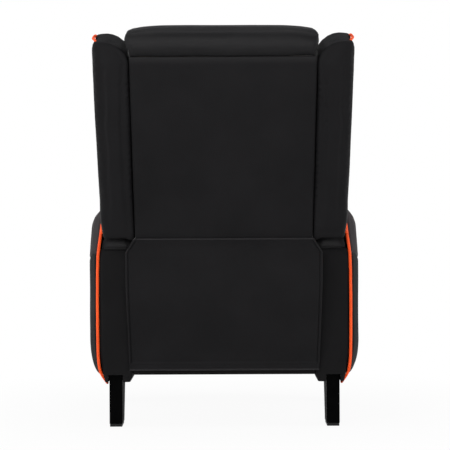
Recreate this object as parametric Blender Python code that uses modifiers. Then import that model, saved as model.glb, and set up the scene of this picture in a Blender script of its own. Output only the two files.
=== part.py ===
# Push-back gaming recliner, seen from behind in the photograph.
# Metres, +Z up, the front faces -Y, and the sitter's left is +X.
import bpy
import bmesh
from math import atan2, cos, pi, radians, sin
from mathutils import Vector

FIT_GAP = 0.0003
OVERRUN = 0.004
PIN_SIDES = 12
ROUND_SIDES = 16
SIDES = (("left", 1), ("right", -1))

# Widths: the arms, the backrest, the cushions and the footrest follow the seat frame's half width
SEAT_HALF = 0.195
SEAT_TO_ARM = 0.050
ARM_WIDTH_REAR = 0.0895
ARM_WIDTH_FRONT = 0.127
BACK_CLEAR = 0.010
BACK_TAPER = 0.009
HEAD_OVER = 0.007
WING_OVER = 0.0745
WING_TAPER = 0.0185
FLAP_OVER = 0.015
FLAP_TOP_CLEAR = 0.008
CUSHION_CLEAR = 0.003
BOARD_CLEAR = 0.013
LEG_SET_IN = 0.0600
LEG_SHIFT_SHARE = 1.05
ARM_INNER = SEAT_HALF + SEAT_TO_ARM
ARM_OUTER_REAR = ARM_INNER + ARM_WIDTH_REAR
ARM_OUTER_FRONT = ARM_INNER + ARM_WIDTH_FRONT
BACK_HALF_LOW = ARM_INNER - BACK_CLEAR
BACK_HALF_TOP = BACK_HALF_LOW + BACK_TAPER
HEAD_HALF = BACK_HALF_TOP + HEAD_OVER
WING_OUTER_LOW = ARM_INNER + WING_OVER
WING_OUTER_TOP = WING_OUTER_LOW + WING_TAPER
FLAP_HALF = ARM_INNER + FLAP_OVER
FLAP_HALF_TOP = ARM_INNER - FLAP_TOP_CLEAR
CUSHION_HALF = ARM_INNER - CUSHION_CLEAR
BOARD_HALF = ARM_INNER - BOARD_CLEAR
LEG_INNER = ARM_OUTER_REAR - LEG_SET_IN
LEG_FRONT_SHIFT = LEG_SHIFT_SHARE * (ARM_WIDTH_FRONT - ARM_WIDTH_REAR)

# Backrest place and lean: lengths in its own frame run t to the rear and z up from the pivot
PIVOT_Y = 0.200
PIVOT_Z = 0.350
BACK_LEAN = radians(13)
BACK_RECLINE = radians(45)
BACK_REAR_T = 0.106
BACK_SKIN = 0.006
BACK_PANEL_LOW = 0.168
BACK_FRAME_DEPTH = 0.070
BACK_FRAME_LOW = 0.060
BACK_FRAME_WIDTH = 0.040
BACK_CUSHION_FRONT = 0.130
LUMBAR_LOW = 0.100
LUMBAR_CHANNEL = 0.10
CUSHION_CHANNEL = 0.16
LUMBAR_TOP = 0.250
HEAD_TOP = 0.741
HEAD_HEIGHT = 0.191
HEAD_ROLL = 0.060
BACK_CUSHION_TOP = HEAD_TOP - HEAD_HEIGHT
BACK_PANEL_TOP = HEAD_TOP - HEAD_ROLL
HEAD_BULGE = 0.010
HEAD_TUCK = 0.001
HEAD_SEAM = 0.003
HEAD_END_ROUND = 0.012
HEAD_END_EDGE = 0.006

# Wings of the backrest
WING_LOW = 0.183
WING_BELOW_HEAD = 0.040
WING_TOP = HEAD_TOP - WING_BELOW_HEAD
WING_ROUND = 0.045
WING_CREST = 0.016
WING_EDGE = 0.006
WING_RISE = 0.010
WING_PIPE = 0.004

# Arms
ARM_REAR = 0.285
ARM_FRONT = -0.395
ARM_BOTTOM = 0.120
ARM_SEAM = 0.478
PAD_ABOVE_SEAM = 0.131
ARM_PAD_TOP = ARM_SEAM + PAD_ABOVE_SEAM
ARM_CHAMFER = 0.015
ARM_UNDER_INSET = 0.018
ARM_UNDER_RISE = 0.095
ARM_TOP_INSET = 0.019
ARM_LEAN = 0.028
ARM_BULGE = 0.038
ARM_PANEL_BOTTOM = 0.131
PANEL_ABOVE_SEAM = 0.112
ARM_PANEL_TOP = ARM_SEAM + PANEL_ABOVE_SEAM
ARM_PIPE = 0.0045
PIPE_GAP = 0.0008
ARM_PANEL_CORNER = 0.040
PANEL_STEP = 0.005
BEND_CLEAR = 0.001

# Plywood inside each arm
PLY = 0.018
PLY_INSET = 0.022
PLY_FOOT_EDGE = 0.008
PLY_FOOT_RISE = 0.030
PLY_BOTTOM = 0.1405
PLY_TOP_COVER = 0.020
PLY_END_COVER = 0.022

# Legs
LEG_WIDTH = 0.035
LEG_WALL = 0.004
LEG_TOP_DEPTH = 0.130
LEG_FOOT_DEPTH = 0.080
LEG_REAR_SET = 0.015
LEG_FRONT_SET = 0.017
LEG_REAR_FACE = ARM_REAR - LEG_REAR_SET
LEG_FRONT_FACE = ARM_FRONT + LEG_FRONT_SET
LEG_NOTCH = 0.002
GLIDE_HEIGHT = 0.008
GLIDE_INSET = 0.001

# Cross rails between the arms
REAR_RAIL_THICK = 0.035
REAR_RAIL_LOW = 0.1405
REAR_RAIL_HIGH = 0.200
REAR_RAIL_SETBACK = 0.005
FRONT_RAIL_Y = -0.200
FRONT_RAIL_THICK = 0.030
FRONT_RAIL_LOW = 0.135
FRONT_RAIL_HIGH = 0.165
RAIL_BEVEL = 0.002

# Rear flap
FLAP_THICK = 0.006
FLAP_TOP = 0.505
FLAP_LOW = 0.149
FLAP_CUT = 0.037
FLAP_CLEAR = 0.004
FLAP_SAG = 0.006
FLAP_SEAT = 0.001

# Seat
SEAT_FRONT = -0.400
SEAT_REAR = 0.190
SEAT_FRAME_LOW = 0.300
SEAT_FRAME_HIGH = 0.335
SEAT_RAIL = 0.040
SEAT_SPRINGS = 4
SPRING_WIRE = 0.0018
SPRING_WAVES = 7
SPRING_SWING = 0.020
SPRING_DROP = 0.010
CUSHION_FRONT = -0.455
CUSHION_REAR = 0.110
CUSHION_TOP = 0.484
SEAT_PLATE = 0.003
PLATE_CLEAR = 0.0005
PIN_EDGE = 0.006
BAND_DROP = 0.005

# Seat rail and glide blocks
RAIL_WALL = 0.003
RAIL_WEB = 0.004
RAIL_LOW = 0.235
RAIL_HIGH = 0.275
RAIL_FRONT = -0.270
RAIL_REAR = 0.160
RAIL_LIP = 0.0432
BLOCK_LENGTH = 0.040
BLOCK_PLACES = (-0.190, 0.060)
PIVOT_PIN = 0.006
PIVOT_EYE = 0.022
DRIVE_ARM = 0.065
DRIVE_PLAY = 0.0006
BRACKET_PLATE = 0.004
BRACKET_TOP = 0.160

# Footrest lazy tongs
LINK = 0.160
LINK_HALF = 0.010
LINK_PLATE = 0.003
LINK_GAP = 0.001
LINK_CLOSED = radians(80)
LINK_OPEN = radians(20)
LINK_PIN = 0.004
PIN_PLAY = 0.00035
TONGS_Y = -0.335
TONGS_Z = 0.285
TUBE_RADIUS = 0.008
BOARD_BACK = 0.012
BOARD_THICK = 0.015
BOARD_ABOVE = 0.012
BOARD_BELOW = 0.155
PAD_THICK = 0.048
BRACKET_EDGE = 0.013
CAM_STEPS = 24
CAM_PLAY = 0.0009

# Leading places that follow from the sizes above
BACK_FRONT_T = BACK_REAR_T - BACK_SKIN - BACK_FRAME_DEPTH
ARM_LENGTH = ARM_REAR - ARM_FRONT
PLATE_X = SEAT_HALF + SEAT_PLATE / 2 + PLATE_CLEAR
LAYER_PITCH = LINK_PLATE + LINK_GAP
LAYER_ONE_X = PLATE_X + SEAT_PLATE / 2 + LINK_GAP + LINK_PLATE / 2
LAYER_TWO_X = LAYER_ONE_X + LAYER_PITCH
LAYER_THREE_X = LAYER_TWO_X + LAYER_PITCH
WEB_X = ARM_INNER - FIT_GAP - RAIL_WEB / 2
BACK_BRACKET_X = WEB_X - RAIL_WEB / 2 - LINK_GAP - BRACKET_PLATE / 2


def clear_scene():
    for obj in list(bpy.data.objects):
        bpy.data.objects.remove(obj, do_unlink=True)
    for group in list(bpy.data.collections):
        bpy.data.collections.remove(group)


def new_collection(name):
    group = bpy.data.collections.new(name)
    bpy.context.scene.collection.children.link(group)
    return group


clear_scene()
PARTS = new_collection("gaming_recliner")
TOOLS = new_collection("cutters")


def new_look(name, color, roughness, metallic):
    look = bpy.data.materials.new(name)
    look.use_nodes = True
    shader = look.node_tree.nodes["Principled BSDF"]
    shader.inputs["Base Color"].default_value = (*color, 1.0)
    shader.inputs["Roughness"].default_value = roughness
    shader.inputs["Metallic"].default_value = metallic
    look.diffuse_color = (*color, 1.0)
    return look


COLORS = {
    "black_leather": ((0.022, 0.021, 0.024), 0.5, 0.0),
    "orange_leather": ((0.90, 0.10, 0.03), 0.5, 0.0),
    "wood": ((0.45, 0.30, 0.17), 0.7, 0.0),
    "black_steel": ((0.012, 0.012, 0.013), 0.45, 0.6),
    "zinc_steel": ((0.42, 0.42, 0.41), 0.4, 0.9),
    "nylon": ((0.75, 0.74, 0.70), 0.5, 0.0),
    "glide_plastic": ((0.02, 0.02, 0.02), 0.6, 0.0),
}


def add_look(obj, kind):
    color, roughness, metallic = COLORS[kind]
    obj.data.materials.append(new_look(obj.name + "_look", color, roughness, metallic))


def new_empty(name, place, lean=0.0, parent=None):
    empty = bpy.data.objects.new(name, None)
    PARTS.objects.link(empty)
    empty.location = place
    empty.rotation_euler = (lean, 0, 0)
    empty.parent = parent
    return empty


def mesh_object(bm, name, kind, parent=None, tool=False):
    bmesh.ops.recalc_face_normals(bm, faces=bm.faces)
    mesh = bpy.data.meshes.new(name)
    bm.to_mesh(mesh)
    bm.free()
    obj = bpy.data.objects.new(name, mesh)
    group = TOOLS if tool else PARTS
    group.objects.link(obj)
    obj.parent = parent
    if tool:
        obj.hide_render = True
        obj.display_type = "WIRE"
    else:
        add_look(obj, kind)
    return obj


# One face pushed out section by section, each section given as a list of points
def sections(name, stations, kind, parent=None, tool=False):
    bm = bmesh.new()
    verts = [bm.verts.new(p) for p in stations[0]]
    face = bm.faces.new(verts)
    ring = verts
    for count, station in enumerate(stations[1:]):
        last = face
        grown = bmesh.ops.extrude_face_region(bm, geom=[last])
        face = [g for g in grown["geom"] if isinstance(g, bmesh.types.BMFace)][0]
        if count and last.is_valid:
            bmesh.ops.delete(bm, geom=[last], context="FACES_ONLY")
        linked = []
        for old in ring:
            for edge in old.link_edges:
                other = edge.other_vert(old)
                if other in face.verts:
                    linked.append(other)
                    break
        ring = linked
        for vert, place in zip(ring, station):
            vert.co = place
    return mesh_object(bm, name, kind, parent, tool)


# A flat grid and its copy, joined round the rim, whose points come from place(u, v, front)
def grid_pad(name, columns, rows, place, kind, parent=None):
    bm = bmesh.new()
    across, along = len(columns) - 1, len(rows) - 1
    bmesh.ops.create_grid(bm, x_segments=across, y_segments=along, size=1.0)
    back = list(bm.verts)
    grown = bmesh.ops.extrude_face_region(bm, geom=list(bm.faces), use_keep_orig=True)
    front = [g for g in grown["geom"] if isinstance(g, bmesh.types.BMVert)]
    for verts, side in ((back, 0), (front, 1)):
        for vert in verts:
            u = columns[round((vert.co.x + 1) / 2 * across)]
            v = rows[round((vert.co.y + 1) / 2 * along)]
            vert.co = place(u, v, side)
    return mesh_object(bm, name, kind, parent)


# Shares from 0 to 1 that crowd together at both ends
def eased_shares(count):
    return [0.5 - 0.5 * cos(pi * i / count) for i in range(count + 1)]


def box(name, low, high, kind, parent=None, tool=False, bevel=0.0):
    bm = bmesh.new()
    bmesh.ops.create_cube(bm, size=1.0)
    for vert in bm.verts:
        vert.co = [low[i] + (vert.co[i] + 0.5) * (high[i] - low[i]) for i in range(3)]
    obj = mesh_object(bm, name, kind, parent, tool)
    if bevel:
        soften(obj, bevel, 2)
    return obj


def soften(obj, width, segments):
    mod = obj.modifiers.new("soften", "BEVEL")
    mod.width = width
    mod.segments = segments
    mod.limit_method = "ANGLE"
    mod.angle_limit = radians(40)
    return mod


def boolean(obj, tool, operation):
    mod = obj.modifiers.new(operation.lower(), "BOOLEAN")
    mod.operation = operation
    mod.solver = "EXACT"
    mod.object = tool


def rod(name, x0, x1, y, z, radius, kind, parent=None, tool=False, sides=PIN_SIDES):
    bm = bmesh.new()
    bmesh.ops.create_cone(
        bm, cap_ends=True, segments=sides, radius1=radius, radius2=radius, depth=abs(x1 - x0)
    )
    turned = [Vector((v.co.z + (x0 + x1) / 2, v.co.x + y, v.co.y + z)) for v in bm.verts]
    for vert, place in zip(bm.verts, turned):
        vert.co = place
    return mesh_object(bm, name, kind, parent, tool)


def circle(center, radius, count=PIN_SIDES):
    turns = [2 * pi * (i + 0.5) / count for i in range(count)]
    return [(center[0] + radius * cos(a), center[1] + radius * sin(a)) for a in turns]


# Outline at a set distance from a path of points, with round ends
def path_outline(path, reach, steps=4):
    left, right = [], []
    for i, point in enumerate(path):
        before = path[max(i - 1, 0)]
        after = path[min(i + 1, len(path) - 1)]
        turn = atan2(after[1] - before[1], after[0] - before[0])
        side = (-sin(turn) * reach, cos(turn) * reach)
        left.append((point[0] + side[0], point[1] + side[1]))
        right.append((point[0] - side[0], point[1] - side[1]))
    first = atan2(path[1][1] - path[0][1], path[1][0] - path[0][0])
    last = atan2(path[-1][1] - path[-2][1], path[-1][0] - path[-2][0])
    cap_end = [last - pi / 2 + pi * k / steps for k in range(1, steps)]
    cap_start = [first + pi / 2 + pi * k / steps for k in range(1, steps)]
    end = [(path[-1][0] + reach * cos(a), path[-1][1] + reach * sin(a)) for a in cap_end]
    start = [(path[0][0] + reach * cos(a), path[0][1] + reach * sin(a)) for a in cap_start]
    return right + end + left[::-1] + start


# Flat plate standing in the YZ plane, from an outline and its holes
def plate(name, outline, holes, x, thick, kind, parent=None, place=(0, 0)):
    data = bpy.data.curves.new(name, "CURVE")
    data.dimensions = "2D"
    data.fill_mode = "BOTH"
    data.extrude = thick / 2
    for loop in [outline, *holes]:
        spline = data.splines.new("POLY")
        spline.points.add(len(loop) - 1)
        for point, (a, b) in zip(spline.points, loop):
            point.co = (a, b, 0, 1)
        spline.use_cyclic_u = True
    obj = bpy.data.objects.new(name, data)
    PARTS.objects.link(obj)
    obj.parent = parent
    obj.location = (x, *place)
    obj.rotation_euler = (pi / 2, 0, pi / 2)
    bpy.context.view_layer.update()
    mesh = bpy.data.meshes.new_from_object(obj.evaluated_get(bpy.context.evaluated_depsgraph_get()))
    bm = bmesh.new()
    bm.from_mesh(mesh)
    bmesh.ops.remove_doubles(bm, verts=bm.verts, dist=FIT_GAP / 10)
    turned = obj.matrix_basis.copy()
    bmesh.ops.transform(bm, matrix=turned, verts=bm.verts)
    bpy.data.objects.remove(obj, do_unlink=True)
    return mesh_object(bm, name, kind, parent)


def tube(name, points, radius, kind, parent=None, cyclic=False, resolution=1):
    data = bpy.data.curves.new(name, "CURVE")
    data.dimensions = "3D"
    data.bevel_depth = radius
    data.bevel_resolution = resolution
    data.use_fill_caps = not cyclic
    spline = data.splines.new("POLY")
    spline.points.add(len(points) - 1)
    for point, place in zip(spline.points, points):
        point.co = (*place, 1)
    spline.use_cyclic_u = cyclic
    obj = bpy.data.objects.new(name, data)
    PARTS.objects.link(obj)
    obj.parent = parent
    add_look(obj, kind)
    return obj


def mix(a, b, share):
    return a + (b - a) * share


# Value read from a table of (place, value) rows
def read_table(rows, place):
    if place <= rows[0][0]:
        return rows[0][1]
    for (p0, v0), (p1, v1) in zip(rows, rows[1:]):
        if place <= p1:
            return mix(v0, v1, (place - p0) / (p1 - p0))
    return rows[-1][1]


# Height share of a stuffed pad across its width: flat in the middle, round at the rim
def crown_share(u, power):
    return max(1 - abs(2 * u - 1) ** power, 0.0) ** (1 / power)


# Catmull-Rom points through a route, open or closed
def smooth(route, steps, closed=False):
    count = len(route)
    spans = count if closed else count - 1
    points = []
    for i in range(spans):
        p0, p1, p2, p3 = [
            Vector(route[k % count] if closed else route[min(max(k, 0), count - 1)])
            for k in (i - 1, i, i + 1, i + 2)
        ]
        for k in range(steps):
            s = k / steps
            cubic = 2 * p0 - 5 * p1 + 4 * p2 - p3
            fourth = 3 * p1 - p0 - 3 * p2 + p3
            points.append((2 * p1 + (p2 - p0) * s + cubic * s * s + fourth * s**3) / 2)
    if not closed:
        points.append(Vector(route[-1]))
    return points


# Outline of the convex plate that holds a set of points
def hull(points):
    points = sorted(set(points))
    chains = []
    for run in (points, points[::-1]):
        chain = []
        for p in run:
            while len(chain) > 1:
                a, b = chain[-2], chain[-1]
                if (b[0] - a[0]) * (p[1] - a[1]) - (b[1] - a[1]) * (p[0] - a[0]) > 0:
                    break
                chain.pop()
            chain.append(p)
        chains.append(chain[:-1])
    return chains[0] + chains[1]


def scaled(point, length):
    return (point[0] * length, point[1] * length)


# Bends of an arm's outer surface: height, and how far it is drawn in there
ARM_BENDS = (
    (ARM_BOTTOM, ARM_UNDER_INSET),
    (ARM_BOTTOM + ARM_UNDER_RISE * 0.22, ARM_UNDER_INSET * 0.55),
    (ARM_BOTTOM + ARM_UNDER_RISE * 0.45, ARM_UNDER_INSET * 0.33),
    (ARM_BOTTOM + ARM_UNDER_RISE * 0.73, ARM_UNDER_INSET * 0.12),
    (ARM_BOTTOM + ARM_UNDER_RISE, 0.0),
    (ARM_SEAM - ARM_LEAN, 0.0),
    (ARM_SEAM, ARM_TOP_INSET * 0.2),
    (mix(ARM_SEAM, ARM_PANEL_TOP, 0.25), ARM_TOP_INSET * 0.42),
    (mix(ARM_SEAM, ARM_PANEL_TOP, 0.5), ARM_TOP_INSET * 0.64),
    (ARM_PANEL_TOP, ARM_TOP_INSET * 0.8),
    (ARM_PAD_TOP, ARM_TOP_INSET),
)
ARM_BULGE_SHARES = (
    (0.0, 0.30), (0.10, 0.72), (0.27, 0.98), (0.45, 1.0), (0.78, 0.64), (0.90, 0.42), (1.0, 0.2)
)
ARM_PANEL_COLUMN_SHARES = (0.0, 0.03, 0.1, 0.2, 0.32, 0.46, 0.62, 0.78, 0.9, 0.97, 1.0)
ARM_SECTION_SHARES = (
    (0.0, 0.4), (0.02, 0.72), (0.05, 0.9), (0.1, 1.0), (0.695, 1.0), (0.79, 1.12), (0.89, 1.22),
    (0.941, 1.0), (0.975, 0.62), (1.0, 0.2),
)
PAD_TOP_SHARES = ((0.0, 0.72), (0.05, 0.87), (0.18, 0.96), (0.45, 1.0), (0.72, 0.97), (0.9, 0.88))
PAD_END_SHARES = (
    (0.0, 0.83), (0.015, 0.91), (0.05, 0.97), (0.12, 1.0), (0.9, 1.0), (0.96, 0.96), (1.0, 0.85)
)


def arm_outer(y, z):
    along = mix(ARM_OUTER_REAR, ARM_OUTER_FRONT, (ARM_REAR - y) / ARM_LENGTH)
    return along - read_table(ARM_BENDS, z)


# Heights of the bends between two heights, both of them included
def bend_heights(low, high):
    inside = [z for z, inset in ARM_BENDS if low + FIT_GAP < z < high - FIT_GAP]
    return [low, *inside, high]


def arm_cover(side, s):
    stations = []
    for y in (ARM_FRONT, ARM_REAR):
        section = [
            (ARM_INNER + ARM_CHAMFER, ARM_BOTTOM),
            (ARM_INNER, ARM_BOTTOM + ARM_CHAMFER),
            (ARM_INNER, ARM_SEAM),
        ]
        section += [(arm_outer(y, z), z) for z in bend_heights(ARM_BOTTOM, ARM_SEAM)[::-1]]
        stations.append([(s * x, y, z) for x, z in section])
    cover = sections("arm_cover_" + side, stations, "black_leather")
    core = sections("ply_slot_" + side, ply_stations(s, FIT_GAP, True), None, tool=True)
    boolean(cover, core, "DIFFERENCE")
    for front in (False, True):
        low, high = leg_top_box(front)
        name = ("front" if front else "rear") + "_leg_notch_" + side
        xs = sorted((s * (low[0] - LEG_NOTCH), s * (high[0] + LEG_NOTCH)))
        reach = (-OVERRUN, LEG_NOTCH) if front else (-LEG_NOTCH, OVERRUN)
        ys = (ARM_FRONT if front else low[1], high[1] if front else ARM_REAR)
        notch = box(
            name,
            (xs[0], ys[0] + reach[0], ARM_BOTTOM - OVERRUN),
            (xs[1], ys[1] + reach[1], PLY_BOTTOM + FIT_GAP / 2),
            None,
            tool=True,
        )
        boolean(cover, notch, "DIFFERENCE")
    return cover


# Upright panel with a wide foot along its lower edge, grown by a clearance for its slot
def ply_stations(s, grow, slot):
    stations = []
    inner = ARM_INNER + PLY_INSET - grow
    outer = ARM_INNER + PLY_INSET + PLY + grow
    low = ARM_BOTTOM - OVERRUN if slot else PLY_BOTTOM
    step = PLY_BOTTOM + PLY_FOOT_RISE + grow
    top = ARM_SEAM - PLY_TOP_COVER + grow
    ends = ((ARM_FRONT + PLY_END_COVER, -grow), (ARM_REAR - PLY_END_COVER, grow))
    for y, more in ends:
        foot = arm_outer(y, ARM_BOTTOM) - PLY_FOOT_EDGE + grow
        section = [(inner, low), (foot, low), (foot, step), (outer, step), (outer, top)]
        section.append((inner, top))
        stations.append([(s * x, y + more, z) for x, z in section])
    return stations


def arm_frame(side, s):
    sections("arm_frame_" + side, ply_stations(s, 0, False), "wood")


def arm_pad(side, s):
    stations = []
    base = ARM_SEAM + FIT_GAP
    for along, end in PAD_END_SHARES:
        y = mix(ARM_REAR, ARM_FRONT, along)
        rise = (ARM_PAD_TOP - base) * end
        section = [(ARM_INNER, base)]
        for across, share in PAD_TOP_SHARES:
            z = base + rise * share
            section.append((mix(ARM_INNER, arm_outer(y, z), across), z))
        heights = bend_heights(base, ARM_PANEL_TOP)[::-1]
        section += [(arm_outer(y, z), min(z, base + rise * PAD_TOP_SHARES[-1][1])) for z in heights]
        stations.append([(s * x, y, z) for x, z in section])
    sections("arm_pad_" + side, stations, "black_leather")


ARM_PANEL_REAR = ARM_REAR - 2 * ARM_PIPE - PIPE_GAP
ARM_PANEL_FRONT = ARM_FRONT + 2 * ARM_PIPE + PIPE_GAP


# How far the panel's ends are drawn in near its rounded corners
def corner_inset(z, low, high, radius):
    near = min(z - low, high - z)
    if near >= radius:
        return 0.0
    return radius - (radius**2 - (radius - near) ** 2) ** 0.5


def arm_side_panel(side, s):
    low, high = ARM_PANEL_BOTTOM, ARM_PANEL_TOP
    fine = [mix(low, high, share) for share, lift in ARM_SECTION_SHARES]
    heights = sorted(set(bend_heights(low, high) + fine))
    kept = [heights[0]]
    for z in heights[1:]:
        if z - kept[-1] > PANEL_STEP:
            kept.append(z)
    kept[-1] = high
    rows = [(z - low) / (high - low) for z in kept]

    def place(u, v, front):
        z = mix(low, high, v)
        inset = corner_inset(z, low, high, ARM_PANEL_CORNER)
        y = mix(ARM_PANEL_REAR - inset, ARM_PANEL_FRONT + inset, u)
        lift = ARM_BULGE * 0.78 * read_table(ARM_BULGE_SHARES, u) * read_table(ARM_SECTION_SHARES, v)
        x = arm_outer(y, z) + 2 * FIT_GAP + front * (lift + ARM_PIPE / 2)
        return (s * x, y, z)

    grid_pad("arm_side_panel_" + side, ARM_PANEL_COLUMN_SHARES, rows, place, "black_leather")


# Welt that runs round the side panel, lying on the arm's outer surface
def arm_piping(side, s):
    reach = ARM_PIPE + PIPE_GAP
    rear, front = ARM_PANEL_REAR + reach, ARM_PANEL_FRONT - reach
    low, high = ARM_PANEL_BOTTOM - reach, ARM_PANEL_TOP + reach
    radius = ARM_PANEL_CORNER + reach
    route = []
    corners = (
        (rear - radius, high - radius, pi / 2),
        (rear - radius, low + radius, 0),
        (front + radius, low + radius, -pi / 2),
        (front + radius, high - radius, -pi),
    )
    for y0, z0, first in corners:
        for k in range(6):
            turn = first - pi / 2 * k / 5
            route.append((y0 + radius * cos(turn), z0 + radius * sin(turn)))
    points = []
    for i, (y, z) in enumerate(route):
        ahead = route[(i + 1) % len(route)]
        points.append((y, z))
        low, high = min(z, ahead[1]) + BEND_CLEAR, max(z, ahead[1]) - BEND_CLEAR
        inside = [b for b, inset in ARM_BENDS if low < b < high]
        for b in sorted(inside, reverse=ahead[1] < z):
            points.append((mix(y, ahead[0], (b - z) / (ahead[1] - z)), b))
    places = [(s * (arm_outer(y, z) + 2 * FIT_GAP + ARM_PIPE), y, z) for y, z in points]
    tube("arm_piping_" + side, places, ARM_PIPE, "orange_leather", cyclic=True, resolution=2)


# Top footprint of a leg: low and high corner in x and y
def leg_top_box(front):
    inner = LEG_INNER + (LEG_FRONT_SHIFT if front else 0)
    if front:
        return (inner, LEG_FRONT_FACE), (inner + LEG_WIDTH, LEG_FRONT_FACE + LEG_TOP_DEPTH)
    return (inner, LEG_REAR_FACE - LEG_TOP_DEPTH), (inner + LEG_WIDTH, LEG_REAR_FACE)


# Folded steel leg, open on the side that faces the middle of the chair
def leg(side, s, front):
    low, high = leg_top_box(front)
    face = low[1] if front else high[1]
    way = 1 if front else -1
    name = ("front" if front else "rear") + "_leg_" + side
    stations, hollow = [], []
    for z, depth in ((GLIDE_HEIGHT + FIT_GAP, LEG_FOOT_DEPTH), (PLY_BOTTOM - FIT_GAP, LEG_TOP_DEPTH)):
        rim = ((low[0], 0), (high[0], 0), (high[0], depth), (low[0], depth))
        stations.append([(s * x, face + way * d, z) for x, d in rim])
        wall = LEG_WALL
        inside = (
            (low[0] + wall, wall),
            (high[0] - wall, wall),
            (high[0] - wall, depth + OVERRUN),
            (low[0] + wall, depth + OVERRUN),
        )
        hollow.append([(s * x, face + way * d, z - wall) for x, d in inside])
    body = sections(name, stations, "black_steel")
    boolean(body, sections(name + "_hollow", hollow, None, tool=True), "DIFFERENCE")
    depth = LEG_FOOT_DEPTH - GLIDE_INSET
    ys = sorted((face + way * GLIDE_INSET, face + way * depth))
    xs = sorted((s * (low[0] + GLIDE_INSET), s * (high[0] - GLIDE_INSET)))
    box(name.replace("leg", "leg_glide"), (xs[0], ys[0], 0), (xs[1], ys[1], GLIDE_HEIGHT),
        "glide_plastic", bevel=GLIDE_INSET)


def cross_rails():
    reach = ARM_INNER - FIT_GAP
    rear = ARM_REAR - REAR_RAIL_SETBACK
    box("rear_rail", (-reach, rear - REAR_RAIL_THICK, REAR_RAIL_LOW), (reach, rear, REAR_RAIL_HIGH),
        "wood", bevel=RAIL_BEVEL)
    half = FRONT_RAIL_THICK / 2
    box("front_rail", (-reach, FRONT_RAIL_Y - half, FRONT_RAIL_LOW),
        (reach, FRONT_RAIL_Y + half, FRONT_RAIL_HIGH), "wood", bevel=RAIL_BEVEL)


# Steel channel on the arm's inner face, with the lug and stud of the backrest's pivot
def base_rail(side, s):
    lug = PIVOT_EYE + BRACKET_PLATE
    turns = [radians(-50 + 21 * i) for i in range(11)]
    outline = [(RAIL_FRONT, RAIL_LOW), (RAIL_REAR, RAIL_LOW)]
    outline += [(PIVOT_Y + lug * cos(a), PIVOT_Z + lug * sin(a)) for a in turns]
    outline += [(RAIL_REAR - 2 * lug, RAIL_HIGH), (RAIL_FRONT, RAIL_HIGH)]
    rail = plate("base_rail_" + side, outline, [], s * WEB_X, RAIL_WEB, "zinc_steel")
    tip = WEB_X + RAIL_WEB / 2 - RAIL_LIP
    xs = sorted((s * tip, s * WEB_X))
    for label, low in (("lower", RAIL_LOW), ("upper", RAIL_HIGH - RAIL_WALL)):
        flange = box(label + "_flange_" + side, (xs[0], RAIL_FRONT, low),
                     (xs[1], RAIL_REAR, low + RAIL_WALL), None, tool=True)
        boolean(rail, flange, "UNION")
    end = BACK_BRACKET_X - BRACKET_PLATE / 2 - FIT_GAP
    stud = rod("pivot_stud_" + side, s * WEB_X, s * end, PIVOT_Y, PIVOT_Z, PIVOT_PIN, None,
               tool=True, sides=ROUND_SIDES)
    boolean(rail, stud, "UNION")


def panel_rear_y(z):
    along = (z - PIVOT_Z + BACK_REAR_T * sin(BACK_LEAN)) / cos(BACK_LEAN)
    return PIVOT_Y + BACK_REAR_T * cos(BACK_LEAN) + along * sin(BACK_LEAN)


FLAP_ROW_SHARES = (0.0, 0.02, 0.12, 0.3, 0.5, 0.7, 0.85)


def rear_flap():
    top_y = panel_rear_y(FLAP_TOP) - FLAP_SEAT + FIT_GAP + FLAP_THICK / 2
    low_y = ARM_REAR + FLAP_CLEAR + FLAP_THICK / 2
    height = FLAP_TOP - FLAP_LOW
    rows = [*FLAP_ROW_SHARES, 1 - FLAP_CUT / height, 1.0]

    def place(u, v, front):
        cut = max(v - rows[-2], 0.0) / (1 - rows[-2])
        half = mix(FLAP_HALF, FLAP_HALF_TOP, cut)
        sag = FLAP_SAG * sin(pi * v) ** 2 * (1 - 0.4 * abs(2 * u - 1))
        y = mix(low_y, top_y, v) + sag + (front - 0.5) * FLAP_THICK
        return (half * (2 * u - 1), y, mix(FLAP_LOW, FLAP_TOP, v))

    grid_pad("rear_flap", eased_shares(8), rows, place, "black_leather")


def back_half(z):
    return mix(BACK_HALF_LOW, BACK_HALF_TOP, max(z - WING_LOW, 0) / (WING_TOP - WING_LOW))


# Wooden ring of the backrest, as wide as the panel, with its opening
def back_frame(parent):
    low, high = BACK_FRAME_LOW, BACK_PANEL_TOP - FIT_GAP
    rim = BACK_FRAME_WIDTH
    front, rear = BACK_FRONT_T, BACK_REAR_T - BACK_SKIN - FIT_GAP
    outer = [(back_half(z), z) for z in (low, WING_LOW, high)]
    inner = [(back_half(z) - rim, z) for z in (low + rim, WING_LOW, high - rim)]
    stations = {"frame": (outer, front, rear), "window": (inner, front - OVERRUN, rear + OVERRUN)}
    made = {}
    for key, (edge, t0, t1) in stations.items():
        ring = edge + [(-x, z) for x, z in edge[::-1]]
        rows = [[(x, t, z) for x, z in ring] for t in (t0, t1)]
        tool = key == "window"
        name = "back_window" if tool else "back_frame"
        made[key] = sections(name, rows, "wood", parent, tool)
    boolean(made["frame"], made["window"], "DIFFERENCE")


def back_panel(parent):
    def place(u, v, front):
        z = mix(BACK_PANEL_LOW, BACK_PANEL_TOP, v)
        swell = crown_share(u, 8) * crown_share(v, 8)
        depth = BACK_SKIN * (0.35 + 0.65 * swell)
        x = (back_half(z) - FIT_GAP) * (2 * u - 1)
        return (x, BACK_REAR_T - BACK_SKIN + front * depth, z)

    grid_pad("back_panel", eased_shares(8), eased_shares(8), place, "black_leather", parent)


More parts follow.
